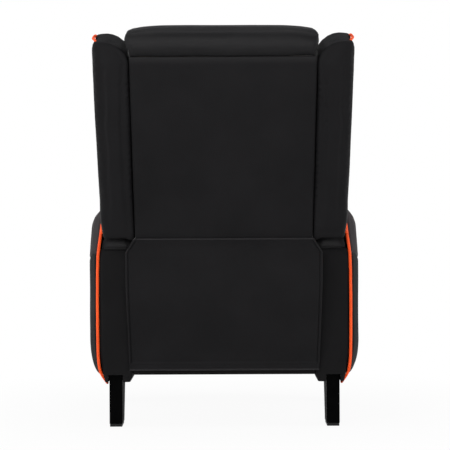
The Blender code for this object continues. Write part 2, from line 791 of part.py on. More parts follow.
# Stuffed pad on the front of the backrest between two heights
def front_pad(name, low, high, parent, waist):
    seat = BACK_FRONT_T - FIT_GAP

    def place(u, v, front):
        z = mix(low, high, v)
        swell = crown_share(u, 5) * crown_share(v, 5)
        channel = 1 - waist * cos(pi * (2 * u - 1) * 2) ** 8
        depth = BACK_CUSHION_FRONT * (0.55 + 0.45 * swell * channel)
        x = (back_half(z) - 2 * FIT_GAP) * (2 * u - 1)
        return (x, seat - front * depth, z)

    grid_pad(name, eased_shares(12), eased_shares(8), place, "black_leather", parent)


# Points of the head cushion's section: share of its depth from the rear, share of its height
HEAD_SHARES = (
    (0.050, 0.715), (0.005, 0.770), (0.000, 0.840), (0.020, 0.910), (0.065, 0.960),
    (0.150, 0.990), (0.300, 1.000), (0.470, 0.985), (0.660, 0.945), (0.830, 0.870),
    (0.950, 0.740), (1.000, 0.550), (0.985, 0.300), (0.930, 0.110), (0.850, 0.015),
)


def head_cushion(parent):
    rear = BACK_REAR_T + HEAD_BULGE
    front = BACK_FRONT_T - FIT_GAP - BACK_CUSHION_FRONT
    low, high = BACK_CUSHION_TOP + FIT_GAP, HEAD_TOP
    seam = BACK_PANEL_TOP + FIT_GAP
    widths = ((low, back_half(low) - 2 * FIT_GAP), (mix(low, seam, 0.85), back_half(seam) - HEAD_TUCK),
              (seam + HEAD_SEAM, HEAD_HALF), (high, HEAD_HALF))
    stations = []
    for u in eased_shares(10):
        round_off = HEAD_END_ROUND * (1 - crown_share(u, 5))
        section = []
        for depth, height in HEAD_SHARES:
            t = mix(rear, front, depth)
            z = mix(low, high, height)
            if height > HEAD_SHARES[0][1]:
                z -= round_off * (height - HEAD_SHARES[0][1]) / (1 - HEAD_SHARES[0][1])
            if t > BACK_REAR_T:
                t = mix(t, BACK_REAR_T, 0.5 * round_off / HEAD_END_ROUND)
            if depth > HEAD_SHARES[8][0]:
                t += round_off * 2 * depth
            section.append((read_table(widths, z) * (2 * u - 1), t, z))
        seat = BACK_FRONT_T - FIT_GAP
        for t, z in ((seat, low + FIT_GAP), (seat, widths[1][0]), (seat, seam)):
            section.append((read_table(widths, z) * (2 * u - 1), t, z))
        stations.append(section)
    middle = mix(seam, high, 0.35)
    caps = []
    for section in (stations[0], stations[-1]):
        inset = 1 - HEAD_END_EDGE / HEAD_HALF
        slim = 1 - HEAD_END_EDGE / (high - low)
        caps.append([(x * inset, t * slim, mix(middle, z, slim)) for x, t, z in section])
    sections("head_cushion", [caps[0], *stations, caps[1]], "black_leather", parent)


WING_FRONT_ROWS = (
    (WING_LOW, BACK_REAR_T * 0.49), (WING_LOW + 0.18 * (WING_TOP - WING_LOW), BACK_REAR_T * 0.31),
    (WING_LOW + 0.32 * (WING_TOP - WING_LOW), BACK_REAR_T * -0.19),
    (WING_LOW + 0.53 * (WING_TOP - WING_LOW), BACK_REAR_T * -0.42), (WING_TOP, BACK_REAR_T * -0.42),
)


def wing_outer(z):
    return mix(WING_OUTER_LOW, WING_OUTER_TOP, (z - WING_LOW) / (WING_TOP - WING_LOW))


def wing_inner(z):
    flat = back_half(z) + FIT_GAP
    up = max(z - WING_TOP + WING_ROUND, 0) / WING_ROUND
    return flat + (wing_outer(z) - flat - WING_CREST) * (1 - max(1 - up**2, 0) ** 0.5)


# How much the top of the wing rises towards the front, highest in the middle of its width
def wing_rise(z, across, forward):
    over = max(z - WING_TOP + WING_ROUND, 0) / WING_ROUND
    return WING_RISE * over * forward * (0.45 + 0.55 * sin(pi * min(max(across, 0), 1)))


def wing(side, s, parent):
    start = WING_TOP - WING_ROUND
    heights = [z for z, t in WING_FRONT_ROWS[:-1]] + [mix(WING_FRONT_ROWS[3][0], start, 0.5), start]
    heights += [start + WING_ROUND * sin(radians(a)) for a in (22, 40, 56, 68, 79, 90)]
    stations = []
    for z in heights:
        inner, outer = wing_inner(z), wing_outer(z)
        front, e = read_table(WING_FRONT_ROWS, z), WING_EDGE
        rim = (
            (inner + e, BACK_REAR_T), (outer - e, BACK_REAR_T), (outer, BACK_REAR_T - e),
            (outer, front + e), (outer - e, front), (inner + e, front), (inner, front + e),
            (inner, BACK_REAR_T - e),
        )
        section = []
        for x, t in rim:
            across = (x - back_half(z)) / (outer - back_half(z))
            forward = (BACK_REAR_T - t) / (BACK_REAR_T - front)
            section.append((s * x, t, z + wing_rise(z, across, forward)))
        stations.append(section)
    sections("wing_" + side, stations, "black_leather", parent)


# Welt that lies in the wing's outer front corner and turns over its top to the rear
def wing_piping(side, s, parent):
    reach = WING_PIPE + 4 * FIT_GAP
    skew = reach * 0.75
    low = WING_LOW + 2 * WING_PIPE
    route = []
    for z, back in ((low, 4), (low + 2 * WING_PIPE, 2.5), (low + 5 * WING_PIPE, 1)):
        t = read_table(WING_FRONT_ROWS, z) + WING_EDGE + back * WING_PIPE
        route.append((wing_outer(z) + reach, t, z))
    for z in (WING_FRONT_ROWS[1][0], mix(WING_FRONT_ROWS[1][0], WING_FRONT_ROWS[2][0], 0.5),
              WING_FRONT_ROWS[2][0], WING_FRONT_ROWS[3][0],
              mix(WING_FRONT_ROWS[3][0], WING_TOP, 0.5), WING_TOP - 4 * WING_PIPE):
        t = read_table(WING_FRONT_ROWS, z) + WING_EDGE - skew
        route.append((wing_outer(z) + skew, t, z))
    top, front = wing_outer(WING_TOP), WING_FRONT_ROWS[-1][1]
    for share in (0.14, 0.4, 0.7):
        z = WING_TOP + wing_rise(WING_TOP, 1, 1 - share) - WING_PIPE / 2
        route.append((top + reach + FIT_GAP, mix(front, BACK_REAR_T, share), z))
    corner = BACK_REAR_T - WING_EDGE
    route.append((top + reach, corner - WING_PIPE, WING_TOP - WING_PIPE / 2))
    route.append((top + skew, corner + skew, WING_TOP - WING_PIPE * 0.8))
    half = WING_EDGE / 2
    route.append((top - half + skew, corner + half + skew, WING_TOP - WING_PIPE * 1.2))
    places = [(s * p[0], p[1], p[2]) for p in smooth(route, 3)]
    tube("wing_piping_" + side, places, WING_PIPE, "orange_leather", parent, resolution=2)


# Steel plate from the pivot to the backrest's frame, with the pin that drives the seat
def back_bracket(side, s, parent):
    drive = scaled((sin(BACK_RECLINE / 2 + BACK_LEAN), -cos(BACK_RECLINE / 2 + BACK_LEAN)), DRIVE_ARM)
    flange_low = BACK_FRAME_LOW + LINK_PIN
    corners = [
        (BACK_FRONT_T + LINK_PIN, flange_low), (BACK_REAR_T - WING_EDGE * 2, flange_low),
        (BACK_FRONT_T + LINK_PIN, BRACKET_TOP), (BACK_REAR_T - WING_EDGE * 2, BRACKET_TOP),
    ]
    outline = hull(circle((0, 0), PIVOT_EYE, 16) + circle(drive, 3 * LINK_PIN, 12) + corners)
    hole = circle((0, 0), PIVOT_PIN + PIN_PLAY, ROUND_SIDES)
    bracket = plate("back_bracket_" + side, outline, [hole], s * BACK_BRACKET_X, BRACKET_PLATE,
                    "zinc_steel", parent)
    tip = PLATE_X - SEAT_PLATE / 2
    pin = rod("drive_pin_" + side, s * BACK_BRACKET_X, s * tip, drive[0], drive[1], LINK_PIN, None,
              parent, tool=True)
    boolean(bracket, pin, "UNION")


def back_body():
    pivot = new_empty("backrest_pivot", (0, PIVOT_Y, PIVOT_Z), -BACK_LEAN)
    back_frame(pivot)
    back_panel(pivot)
    front_pad("lumbar_cushion", LUMBAR_LOW, LUMBAR_TOP - FIT_GAP, pivot, LUMBAR_CHANNEL)
    front_pad("back_cushion", LUMBAR_TOP, BACK_CUSHION_TOP, pivot, CUSHION_CHANNEL)
    head_cushion(pivot)
    for side, s in SIDES:
        wing(side, s, pivot)
        wing_piping(side, s, pivot)
        back_bracket(side, s, pivot)


# Wooden ring under the seat cushion
def seat_frame(parent):
    reach, rim = SEAT_HALF, SEAT_RAIL
    frame = box("seat_frame", (-reach, SEAT_FRONT, SEAT_FRAME_LOW),
                (reach, SEAT_REAR, SEAT_FRAME_HIGH), "wood", parent)
    window = box("seat_window", (-reach + rim, SEAT_FRONT + rim, SEAT_FRAME_LOW - OVERRUN),
                 (reach - rim, SEAT_REAR - rim, SEAT_FRAME_HIGH + OVERRUN), None, parent, True)
    boolean(frame, window, "DIFFERENCE")


# Sinuous spring between the front and rear rails of the seat frame
def seat_spring(count, parent):
    x0 = (SEAT_HALF - SEAT_RAIL) * 2 * ((count + 0.5) / SEAT_SPRINGS - 0.5)
    front = SEAT_FRONT + SEAT_RAIL + FIT_GAP
    rear = SEAT_REAR - SEAT_RAIL - FIT_GAP
    z = SEAT_FRAME_HIGH - SPRING_DROP
    bends = SPRING_WAVES * 4
    lead = SPRING_WIRE * 4
    points = [(x0, front, z), (x0, front + lead, z)]
    for i in range(bends + 1):
        y = mix(front + SPRING_SWING, rear - SPRING_SWING, i / bends)
        points.append((x0 + SPRING_SWING * sin(pi * i / 2 + pi / 4), y, z))
    points += [(x0, rear - lead, z), (x0, rear, z)]
    tube(f"seat_spring_{count + 1}", points, SPRING_WIRE, "zinc_steel", parent, resolution=0)


def seat_cushion(parent):
    base = SEAT_FRAME_HIGH + FIT_GAP

    def place(u, v, front):
        swell = crown_share(u, 5) * crown_share(v, 6)
        depth = (CUSHION_TOP - base) * (0.6 + 0.4 * swell)
        y = mix(CUSHION_FRONT, CUSHION_REAR, v)
        return (CUSHION_HALF * (2 * u - 1), y, base + front * depth)

    grid_pad("seat_cushion", eased_shares(12), eased_shares(12), place, "black_leather", parent)


# Steel side plate of the seat: holes for the torque tube and the slots of both linkages
def seat_plate(side, s, parent):
    foot = LINK_HALF + PIN_EDGE
    slot_low = TONGS_Z - LINK * sin(LINK_CLOSED)
    slot_high = TONGS_Z - LINK * sin(LINK_OPEN)
    drive_y = PIVOT_Y + DRIVE_ARM * sin(BACK_RECLINE / 2)
    drive_high = PIVOT_Z - DRIVE_ARM * cos(BACK_RECLINE / 2)
    drive_low = PIVOT_Z - DRIVE_ARM
    tail = 3 * LINK_PIN + PIN_EDGE
    band_top = SEAT_FRAME_HIGH - BAND_DROP
    outline = [
        (TONGS_Y - foot, slot_low - foot), (TONGS_Y + foot, slot_low - foot),
        (TONGS_Y + foot, RAIL_LOW + RAIL_WALL), (RAIL_REAR - 2 * BLOCK_LENGTH, RAIL_LOW + RAIL_WALL),
        (RAIL_REAR, drive_low - tail), (drive_y + tail, drive_low - tail),
        (drive_y + tail, drive_high + tail), (SEAT_REAR, band_top), (TONGS_Y - foot, band_top),
    ]
    slot = path_outline([(TONGS_Y, slot_low), (TONGS_Y, slot_high)], LINK_PIN + PIN_PLAY)
    drive = path_outline([(drive_y, drive_low), (drive_y, drive_high)], LINK_PIN + DRIVE_PLAY)
    bore = circle((TONGS_Y, TONGS_Z), TUBE_RADIUS + 2 * PIN_PLAY, ROUND_SIDES)
    plate("seat_plate_" + side, outline, [slot, drive, bore], s * PLATE_X, SEAT_PLATE,
          "black_steel", parent)


def glide_blocks(side, s, parent):
    inner = PLATE_X + SEAT_PLATE / 2 + FIT_GAP
    outer = WEB_X - RAIL_WEB / 2 - FIT_GAP
    low, high = RAIL_LOW + RAIL_WALL + FIT_GAP, RAIL_HIGH - RAIL_WALL - FIT_GAP
    for label, y in zip(("front", "rear"), BLOCK_PLACES):
        xs = sorted((s * inner, s * outer))
        box(f"glide_block_{label}_{side}", (xs[0], y - BLOCK_LENGTH / 2, low),
            (xs[1], y + BLOCK_LENGTH / 2, high), "nylon", parent)


def seat_body():
    seat = new_empty("seat_slide", (0, 0, 0))
    seat_frame(seat)
    for count in range(SEAT_SPRINGS):
        seat_spring(count, seat)
    seat_cushion(seat)
    for side, s in SIDES:
        seat_plate(side, s, seat)
        glide_blocks(side, s, seat)
    return seat


# Places of the closed lazy tongs, from the fixed pivot, as (y, z)
DOWN = scaled((-cos(LINK_CLOSED), -sin(LINK_CLOSED)), LINK)
UP = scaled((-cos(LINK_CLOSED), sin(LINK_CLOSED)), LINK)
REACH = LINK_PLATE / 2 + FIT_GAP


# One bar of the tongs: ends, holes and pins are given in the frame of its own pivot
def tongs_link(name, s, ends, holes, pins, x, parent):
    outline = path_outline(ends, LINK_HALF, 5)
    bores = [circle(hole, LINK_PIN + PIN_PLAY) for hole in holes]
    bar = plate(name, outline, bores, s * x, LINK_PLATE, "black_steel", parent)
    for count, (place, end) in enumerate(pins):
        pin = rod(f"{name}_pin_{count + 1}", s * x, s * end, place[0], place[1], LINK_PIN, None,
                  parent, tool=True)
        boolean(bar, pin, "UNION")


def minus(point):
    return (-point[0], -point[1])


def tongs(side, s, seat):
    one, two, three = LAYER_ONE_X, LAYER_TWO_X, LAYER_THREE_X
    fixed = (TONGS_Y, TONGS_Z)
    crossing = (fixed[0] + DOWN[0] / 2, fixed[1] + DOWN[1] / 2)
    low_joint = (fixed[0] + DOWN[0], fixed[1] + DOWN[1])
    high_joint = (fixed[0] + DOWN[0], fixed[1])
    tip = (low_joint[0] + UP[0], low_joint[1] + UP[1])
    a = new_empty("link_a_axis_" + side, (0, *fixed))
    tongs_link("link_a_" + side, s, [(0, 0), DOWN], [], [(scaled(DOWN, 0.5), two + REACH),
               (DOWN, two + REACH)], one, a)
    b = new_empty("link_b_axis_" + side, (0, *crossing))
    tongs_link("link_b_" + side, s, [scaled(UP, -0.5), scaled(UP, 0.5)], [(0, 0)],
               [(scaled(UP, -0.5), PLATE_X - SEAT_PLATE / 2), (scaled(UP, 0.5), one - REACH)], two, b)
    c = new_empty("link_c_axis_" + side, (0, *low_joint))
    tongs_link("link_c_" + side, s, [(0, 0), UP], [(0, 0)],
               [(scaled(UP, 0.5), one - REACH), (UP, three + REACH)], two, c)
    d = new_empty("link_d_axis_" + side, (0, *high_joint))
    tongs_link("link_d_" + side, s, [(0, 0), DOWN], [(0, 0), scaled(DOWN, 0.5)],
               [(DOWN, three + REACH)], one, d)
    return tip


# Path of the lower pin in the frame of the board's bracket as the tongs open
def cam_path():
    path = []
    for i in range(CAM_STEPS + 1):
        share = i / CAM_STEPS
        reach = LINK * sin(mix(LINK_CLOSED, LINK_OPEN, share))
        turn = share * pi / 2
        path.append((reach * sin(turn), -reach * cos(turn)))
    return path


# Bracket of the footrest board, with the cam slot that turns the board up
def footrest_bracket(side, s, parent):
    path = cam_path()
    slot = path_outline(path, LINK_PIN + CAM_PLAY)
    edge = BRACKET_EDGE
    rim = path_outline(path, edge)
    outer = rim[: len(path) + 2]
    face = -BOARD_BACK + FIT_GAP
    foot = -LINK * sin(LINK_CLOSED) - edge * 0.6
    outline = [p for p in outer if p[0] > face] + [(edge, edge), (0, edge)]
    outline += [(face, edge * 0.6), (face, foot)]
    hole = circle((0, 0), LINK_PIN + PIN_PLAY)
    plate("footrest_bracket_" + side, outline, [slot, hole], s * LAYER_THREE_X, LINK_PLATE,
          "black_steel", parent)


def footrest_board(parent):
    face = -BOARD_BACK
    box("footrest_board", (-BOARD_HALF, face - BOARD_THICK, -BOARD_BELOW),
        (BOARD_HALF, face, BOARD_ABOVE), "wood", parent)
    base = face - BOARD_THICK - FIT_GAP

    def place(u, v, front):
        swell = crown_share(u, 6) * crown_share(v, 4)
        depth = PAD_THICK * (0.5 + 0.5 * swell)
        return (BOARD_HALF * (2 * u - 1), base - front * depth, mix(-BOARD_BELOW, BOARD_ABOVE, v))

    grid_pad("footrest_pad", eased_shares(12), eased_shares(6), place, "black_leather", parent)


def footrest_bodies(seat):
    for side, s in SIDES:
        tip = tongs(side, s, seat)
    reach = LAYER_ONE_X - REACH
    outline = circle((TONGS_Y, TONGS_Z), TUBE_RADIUS, ROUND_SIDES)
    bore = circle((TONGS_Y, TONGS_Z), TUBE_RADIUS * 0.8, ROUND_SIDES)
    plate("footrest_torque_tube", outline, [bore], 0, 2 * reach, "zinc_steel", seat)
    board = new_empty("footrest_axis", (0, *tip))
    footrest_board(board)
    for side, s in SIDES:
        footrest_bracket(side, s, board)


def base_body():
    for side, s in SIDES:
        arm_cover(side, s)
        arm_frame(side, s)
        arm_pad(side, s)
        arm_side_panel(side, s)
        arm_piping(side, s)
        leg(side, s, False)
        leg(side, s, True)
        base_rail(side, s)
    cross_rails()
    rear_flap()


base_body()
back_body()
footrest_bodies(seat_body())
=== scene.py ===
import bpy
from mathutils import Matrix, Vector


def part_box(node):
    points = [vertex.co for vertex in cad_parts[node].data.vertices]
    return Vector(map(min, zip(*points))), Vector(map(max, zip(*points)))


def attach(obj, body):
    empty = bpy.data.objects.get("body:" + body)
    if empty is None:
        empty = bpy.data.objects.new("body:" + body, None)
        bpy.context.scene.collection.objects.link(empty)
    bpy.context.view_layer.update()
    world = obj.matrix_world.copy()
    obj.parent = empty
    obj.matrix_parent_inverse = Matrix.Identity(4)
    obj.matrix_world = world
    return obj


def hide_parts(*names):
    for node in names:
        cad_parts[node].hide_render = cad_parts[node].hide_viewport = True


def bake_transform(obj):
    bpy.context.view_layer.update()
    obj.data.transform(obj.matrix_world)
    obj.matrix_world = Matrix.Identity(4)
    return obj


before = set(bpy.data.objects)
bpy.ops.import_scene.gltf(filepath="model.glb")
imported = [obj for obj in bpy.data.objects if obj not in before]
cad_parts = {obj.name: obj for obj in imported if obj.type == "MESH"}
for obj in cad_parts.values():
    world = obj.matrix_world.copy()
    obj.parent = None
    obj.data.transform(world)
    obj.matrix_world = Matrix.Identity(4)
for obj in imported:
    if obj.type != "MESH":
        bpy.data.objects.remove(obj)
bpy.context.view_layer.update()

from contextlib import contextmanager
from math import cos, exp, pi, radians, sin
import bmesh
import bpy
from mathutils import Euler, Matrix, Vector, noise
from mathutils.bvhtree import BVHTree

scene = bpy.context.scene
scene.view_settings.view_transform = "Standard"
sides = (("left", 1), ("right", -1))  # the sitter's left is +X

leanAngle = radians(13)  # how far the backrest leans at rest
pivot = Vector((0.0, 0.200, 0.350))


def fromBack(x, t, z):  # a point of the leaning backrest, t to the rear, z along the back
    return pivot + Matrix.Rotation(-leanAngle, 3, "X") @ Vector((x, t, z))


def toBack(point):
    return Matrix.Rotation(leanAngle, 3, "X") @ (point - pivot)


backRear = fromBack(0, 1, 0) - fromBack(0, 0, 0)  # the way the backrest's rear faces
backUp = fromBack(0, 0, 1) - fromBack(0, 0, 0)


def easy(value, low, high):  # 0 below low, 1 above high, and a soft turn between them
    share = min(max((value - low) / (high - low), 0), 1)
    return share * share * (3 - 2 * share)


def steady(value, low, high):  # the same as a straight slope
    return min(max((value - low) / (high - low), 0), 1)


def between(share, low, high):  # the number, or the socket, that goes from low to high
    return share * (high - low) + low


# camera straight behind the chair, level, a little above half its height
cameraSettings = {
    "place": (0.0, 4.485, 0.570),
    "lens": 125.4,
    "sensor": 36,
    "shiftX": 0.0027,
    "shiftY": -0.0236,
    "roll": -0.25,  # degrees, as the photograph hangs a little to one side
}


def addCamera():
    look = cameraSettings
    data = bpy.data.cameras.new("viewCamera")
    data.lens, data.sensor_width = look["lens"], look["sensor"]
    data.shift_x, data.shift_y = look["shiftX"], look["shiftY"]
    camera = bpy.data.objects.new("viewCamera", data)
    scene.collection.objects.link(camera)
    camera.location = look["place"]
    level = Euler((pi / 2, 0, pi)).to_matrix()
    camera.rotation_euler = (level @ Matrix.Rotation(radians(look["roll"]), 3, "Z")).to_euler()
    scene.camera = camera


lampSettings = {  # place, target, width, height, watts
    "topLamp": ((0.0, 0.4, 3.2), (0.0, 0.0, 0.6), 2.4, 1.6, 19.0),
    "leftLamp": ((3.2, 0.4, 1.5), (0.3, 0.0, 0.5), 1.2, 2.2, 46.0),
    "rightLamp": ((-3.2, 0.4, 1.5), (-0.3, 0.0, 0.5), 1.2, 2.2, 50.0),
    "rearLamp": ((0.3, 4.6, 1.3), (0.0, 0.2, 0.6), 2.4, 0.9, 63.0),
    "highLamp": ((1.5, 2.7, 2.5), (0.1, 0.4, 0.9), 1.0, 0.5, 25.0),
    "frontLamp": ((0.0, -4.2, 1.0), (0.0, -0.2, 0.5), 2.4, 1.2, 40.0),
}


def addLamps():
    for name, (place, target, width, height, watts) in lampSettings.items():
        data = bpy.data.lights.new(name, "AREA")
        data.shape = "RECTANGLE"
        data.size, data.size_y, data.energy = width, height, watts
        lamp = bpy.data.objects.new(name, data)
        scene.collection.objects.link(lamp)
        lamp.location = place
        lamp.rotation_euler = (Vector(target) - Vector(place)).to_track_quat("-Z", "Y").to_euler()


class Wire:  # a shader socket that Python sums can be written with
    def __init__(self, shade, socket):
        self.shade, self.socket = shade, socket

    def math(self, operation, a, b=0.0, clamp=False):
        return self.shade.add("ShaderNodeMath", {"operation": operation, "use_clamp": clamp}, {0: a, 1: b})

    def __add__(self, other): return self.math("ADD", self, other)
    def __sub__(self, other): return self.math("SUBTRACT", self, other)
    def __mul__(self, other): return self.math("MULTIPLY", self, other)
    def clamped(self): return self.math("ADD", self, 0.0, True)
    def size(self): return self.math("ABSOLUTE", self)


class Shade:  # the nodes of one material, or of the world
    def __init__(self, owner):
        owner.use_nodes = True
        self.owner, self.tree = owner, owner.node_tree
        self.surface = self.tree.nodes.get("Principled BSDF")
        self.place = self.add("ShaderNodeTexCoord", {}, {}, "Object")

    def add(self, kind, settings, values, output=0):
        node = self.tree.nodes.new(kind)
        for key, value in settings.items():
            setattr(node, key, value)
        for key, value in values.items():
            self.feed(node.inputs[key], value)
        return Wire(self, node.outputs[output])

    def feed(self, socket, value):
        if isinstance(value, Wire):
            self.tree.links.new(value.socket, socket)
        else:
            socket.default_value = value

    def noise(self, scale, detail=2.0, stretch=None, roughness=0.5):
        spot = self.place
        if stretch:
            spot = self.add("ShaderNodeMapping", {}, {"Vector": self.place, "Scale": stretch})
        values = {"Vector": spot, "Scale": scale, "Detail": detail, "Roughness": roughness}
        return self.add("ShaderNodeTexNoise", {}, values, "Fac")

    def along(self, axis):
        return self.add("ShaderNodeSeparateXYZ", {}, {0: self.place}, axis)

    def ramp(self, value, low, high):
        values = {"Value": value, "From Min": low, "From Max": high}
        return self.add("ShaderNodeMapRange", {"clamp": True}, values)

    def blendColor(self, share, first, second):
        return self.add("ShaderNodeMix", {"data_type": "RGBA"}, {0: share, 6: first, 7: second}, 2)

    def bump(self, height, strength, distance, before=None):
        values = {"Height": height, "Strength": strength, "Distance": distance}
        if before:
            values["Normal"] = before
        return self.add("ShaderNodeBump", {}, values)

    def seenRay(self):  # 1 for what the camera sees, also in a reflection and through glass
        camera, glossy, through = [self.add("ShaderNodeLightPath", {}, {}, kind)
                                   for kind in ("Is Camera Ray", "Is Glossy Ray", "Is Transmission Ray")]
        return (camera + glossy + through).clamped()

    def finish(self, **values):
        for key, value in values.items():
            self.feed(self.surface.inputs[key.replace("_", " ")], value)
        return self.owner


# The hide has grain cells with finer pores, soft folds, and patches of other colour and gloss.
# Some kinds turn paler between given heights: a painted highlight on a rounded top or hem edge.
leatherSettings = {
    "all": {"dark": (0.0080, 0.0078, 0.0084, 1), "pale": (0.0112, 0.0108, 0.0116, 1),
            "grain": 620.0, "cellEase": 0.6, "pores": 1364.0, "patches": 9.0,
            "folds": (26.0, 3.0, (1.0, 1.0, 0.55), 0.6),
            "grainDepth": 0.00080, "grainBump": 0.55, "foldDepth": 0.0048, "foldBump": 0.35,
            "colorSpread": (0.36, 0.66), "roughSpread": (0.25, 0.70), "rough": (0.46, 0.58), "gloss": 0.055},
    "black": {"grainDepth": 0.00088},
    # taut: paler just under the head roll's seam, a painted highlight on the panel's rounded top edge
    "taut": {"grainDepth": 0.00088, "foldBump": 0.14, "worn": ((0.956, 0.975),),
             "wornColor": (0.0190, 0.0184, 0.0192, 1)},
    # flap: paler along its top fold and its lower hem, painted highlights on these rounded edges
    "flap": {"dark": (0.0082, 0.0080, 0.0086, 1), "pale": (0.0114, 0.0110, 0.0118, 1), "grainDepth": 0.00088,
             "worn": ((0.5028, 0.5042), (0.1578, 0.1564)), "wornColor": (0.0250, 0.0240, 0.0252, 1)},
    "arm": {"dark": (0.0070, 0.0068, 0.0072, 1), "pale": (0.0096, 0.0093, 0.0098, 1), "rough": (0.50, 0.62),
            "gloss": 0.045, "foldBump": 0.175},
    # side: above its seam the hide is painted lighter, painted light on the upward-facing facet
    "side": {"dark": (0.0072, 0.0069, 0.0074, 1), "pale": (0.0100, 0.0095, 0.0103, 1), "rough": (0.58, 0.70),
             "gloss": 0.030, "foldBump": 0.175, "upper": (0.0300, 0.0250, 0.0268, 1)},
    # softLit: the head roll's and the arm pads' hide, glossier than the black, and paler as painted light
    "softLit": {"dark": (0.0092, 0.0090, 0.0096, 1), "pale": (0.0130, 0.0126, 0.0134, 1), "rough": (0.38, 0.50),
             "gloss": 0.11, "foldBump": 0.28},
    "orange": {"dark": (0.90, 0.085, 0.016, 1), "pale": (1.0, 0.120, 0.024, 1), "rough": (0.42, 0.55),
               "gloss": 0.12, "grainDepth": 0.00060, "foldBump": 0.0},
}
# the side panels' sloping seam: height at the chair's middle, rise to the rear, width of the colours' edge
sideSeam = {"height": 0.4410, "rise": 0.100, "edge": 0.001}


def leather(kind):
    look = {**leatherSettings["all"], **leatherSettings[kind]}
    shade = Shade(bpy.data.materials.new(kind + "Leather"))
    values = {"Vector": shade.place, "Scale": look["grain"], "Smoothness": look["cellEase"]}
    cells = shade.add("ShaderNodeTexVoronoi", {"feature": "SMOOTH_F1"}, values, "Distance")
    pores = shade.noise(look["pores"])
    grain = cells * 0.7 + pores * 0.3
    patches = shade.noise(look["patches"], 3.0)
    speckled = shade.ramp(patches * 0.6 + pores * 0.4, *look["colorSpread"])
    color = shade.blendColor(speckled, look["dark"], look["pale"])
    # painted highlight: paler between these heights, along a rounded edge
    for start, end in look.get("worn", ()):
        color = shade.blendColor(shade.ramp(shade.along("Z"), start, end), color, look["wornColor"])
    if "upper" in look:  # painted light: above the side panel's seam the hide is painted lighter, for the light its upward-facing facet catches
        level = shade.along("Z") - shade.along("Y") * sideSeam["rise"]
        above = shade.ramp(level, sideSeam["height"], sideSeam["height"] + sideSeam["edge"])
        color = shade.blendColor(above, color, look["upper"])
    rough = between(shade.ramp(patches * 0.7 + grain * 0.3, *look["roughSpread"]), *look["rough"])
    skin = shade.bump(grain, look["grainBump"], look["grainDepth"])
    if look["foldBump"]:
        skin = shade.bump(shade.noise(*look["folds"]), look["foldBump"], look["foldDepth"], skin)
    return shade.finish(Base_Color=color, Roughness=rough, Normal=skin, Specular_IOR_Level=look["gloss"])


metalFinish = {"speck": 1400.0, "cloud": 35.0, "colorSpread": (0.35, 0.65),
               "roughSpread": (0.3, 0.7), "bump": 0.4}
metalSettings = {
    "blackSteel": {"color": (0.0010, 0.0010, 0.0011, 1), "pale": (0.0018, 0.0018, 0.0019, 1), "metal": 0.0,
                   "rough": (0.50, 0.62), "gloss": 0.012, "depth": 0.00048},
    "zincSteel": {"color": (0.40, 0.40, 0.39, 1), "pale": (0.55, 0.55, 0.53, 1), "metal": 0.9,
                  "rough": (0.28, 0.45), "gloss": 0.5, "depth": 0.00024},
}


def metal(kind):
    look = metalSettings[kind]
    shade = Shade(bpy.data.materials.new(kind))
    speck, cloud = shade.noise(metalFinish["speck"]), shade.noise(metalFinish["cloud"], 3.0)
    color = shade.blendColor(shade.ramp(cloud, *metalFinish["colorSpread"]), look["color"], look["pale"])
    rough = between(shade.ramp(cloud * 0.6 + speck * 0.4, *metalFinish["roughSpread"]), *look["rough"])
    skin = shade.bump(speck, metalFinish["bump"], look["depth"])
    return shade.finish(Base_Color=color, Roughness=rough, Normal=skin, Metallic=look["metal"],
                        Specular_IOR_Level=look["gloss"])


woodGrain = {"rings": (18.0, 4.0, (6.0, 0.6, 6.0), 0.6), "pores": (420.0, 2.0, (1.0, 0.12, 1.0)),
             "spread": (0.3, 0.7), "rough": (0.6, 0.8), "bump": (0.4, 0.0006)}
bareWood = {"dark": (0.30, 0.18, 0.09, 1), "pale": (0.52, 0.36, 0.21, 1), "gloss": 0.4}
woodSettings = {
    "plyWood": bareWood,
    "edgedWood": {**bareWood,  # painted dark along its sides and its top as painted shade, where it shows in the gaps between the covers; from and to these distances
                  "paint": (0.0024, 0.0023, 0.0022, 1), "sideFrom": (0.222, 0.226), "topFrom": (0.972, 0.978)},
    "stainedWood": {"dark": (0.0024, 0.0023, 0.0022, 1), "pale": (0.0060, 0.0056, 0.0052, 1), "gloss": 0.08},
}


def wood(kind):
    look = woodSettings[kind]
    shade = Shade(bpy.data.materials.new(kind))
    rings, pores = shade.noise(*woodGrain["rings"]), shade.noise(*woodGrain["pores"])
    color = shade.blendColor(shade.ramp(rings, *woodGrain["spread"]), look["dark"], look["pale"])
    # painted shade on the frame's sides and top, where they show in the gaps between the covers
    if "paint" in look:
        side = shade.ramp(shade.along("X").size(), *look["sideFrom"])
        gapShade = (side + shade.ramp(shade.along("Z"), *look["topFrom"])).clamped()
        color = shade.blendColor(gapShade, color, look["paint"])
    rough = between(shade.ramp(pores, *woodGrain["spread"]), *woodGrain["rough"])
    return shade.finish(Base_Color=color, Roughness=rough, Normal=shade.bump(pores, *woodGrain["bump"]),
                        Specular_IOR_Level=look["gloss"])


plasticFinish = {"cloud": 60.0, "speck": 900.0, "spread": (0.3, 0.7),
                 "rough": (0.45, 0.60), "bump": (0.3, 0.0003)}
plasticSettings = {
    "nylon": {"color": (0.62, 0.61, 0.57, 1), "pale": (0.75, 0.74, 0.70, 1), "gloss": 0.2},
    "footPlastic": {"color": (0.0030, 0.0030, 0.0030, 1), "pale": (0.0060, 0.0060, 0.0060, 1), "gloss": 0.2},
    "thread": {"color": (0.0022, 0.0022, 0.0024, 1), "pale": (0.0050, 0.0050, 0.0054, 1), "gloss": 0.05},
}


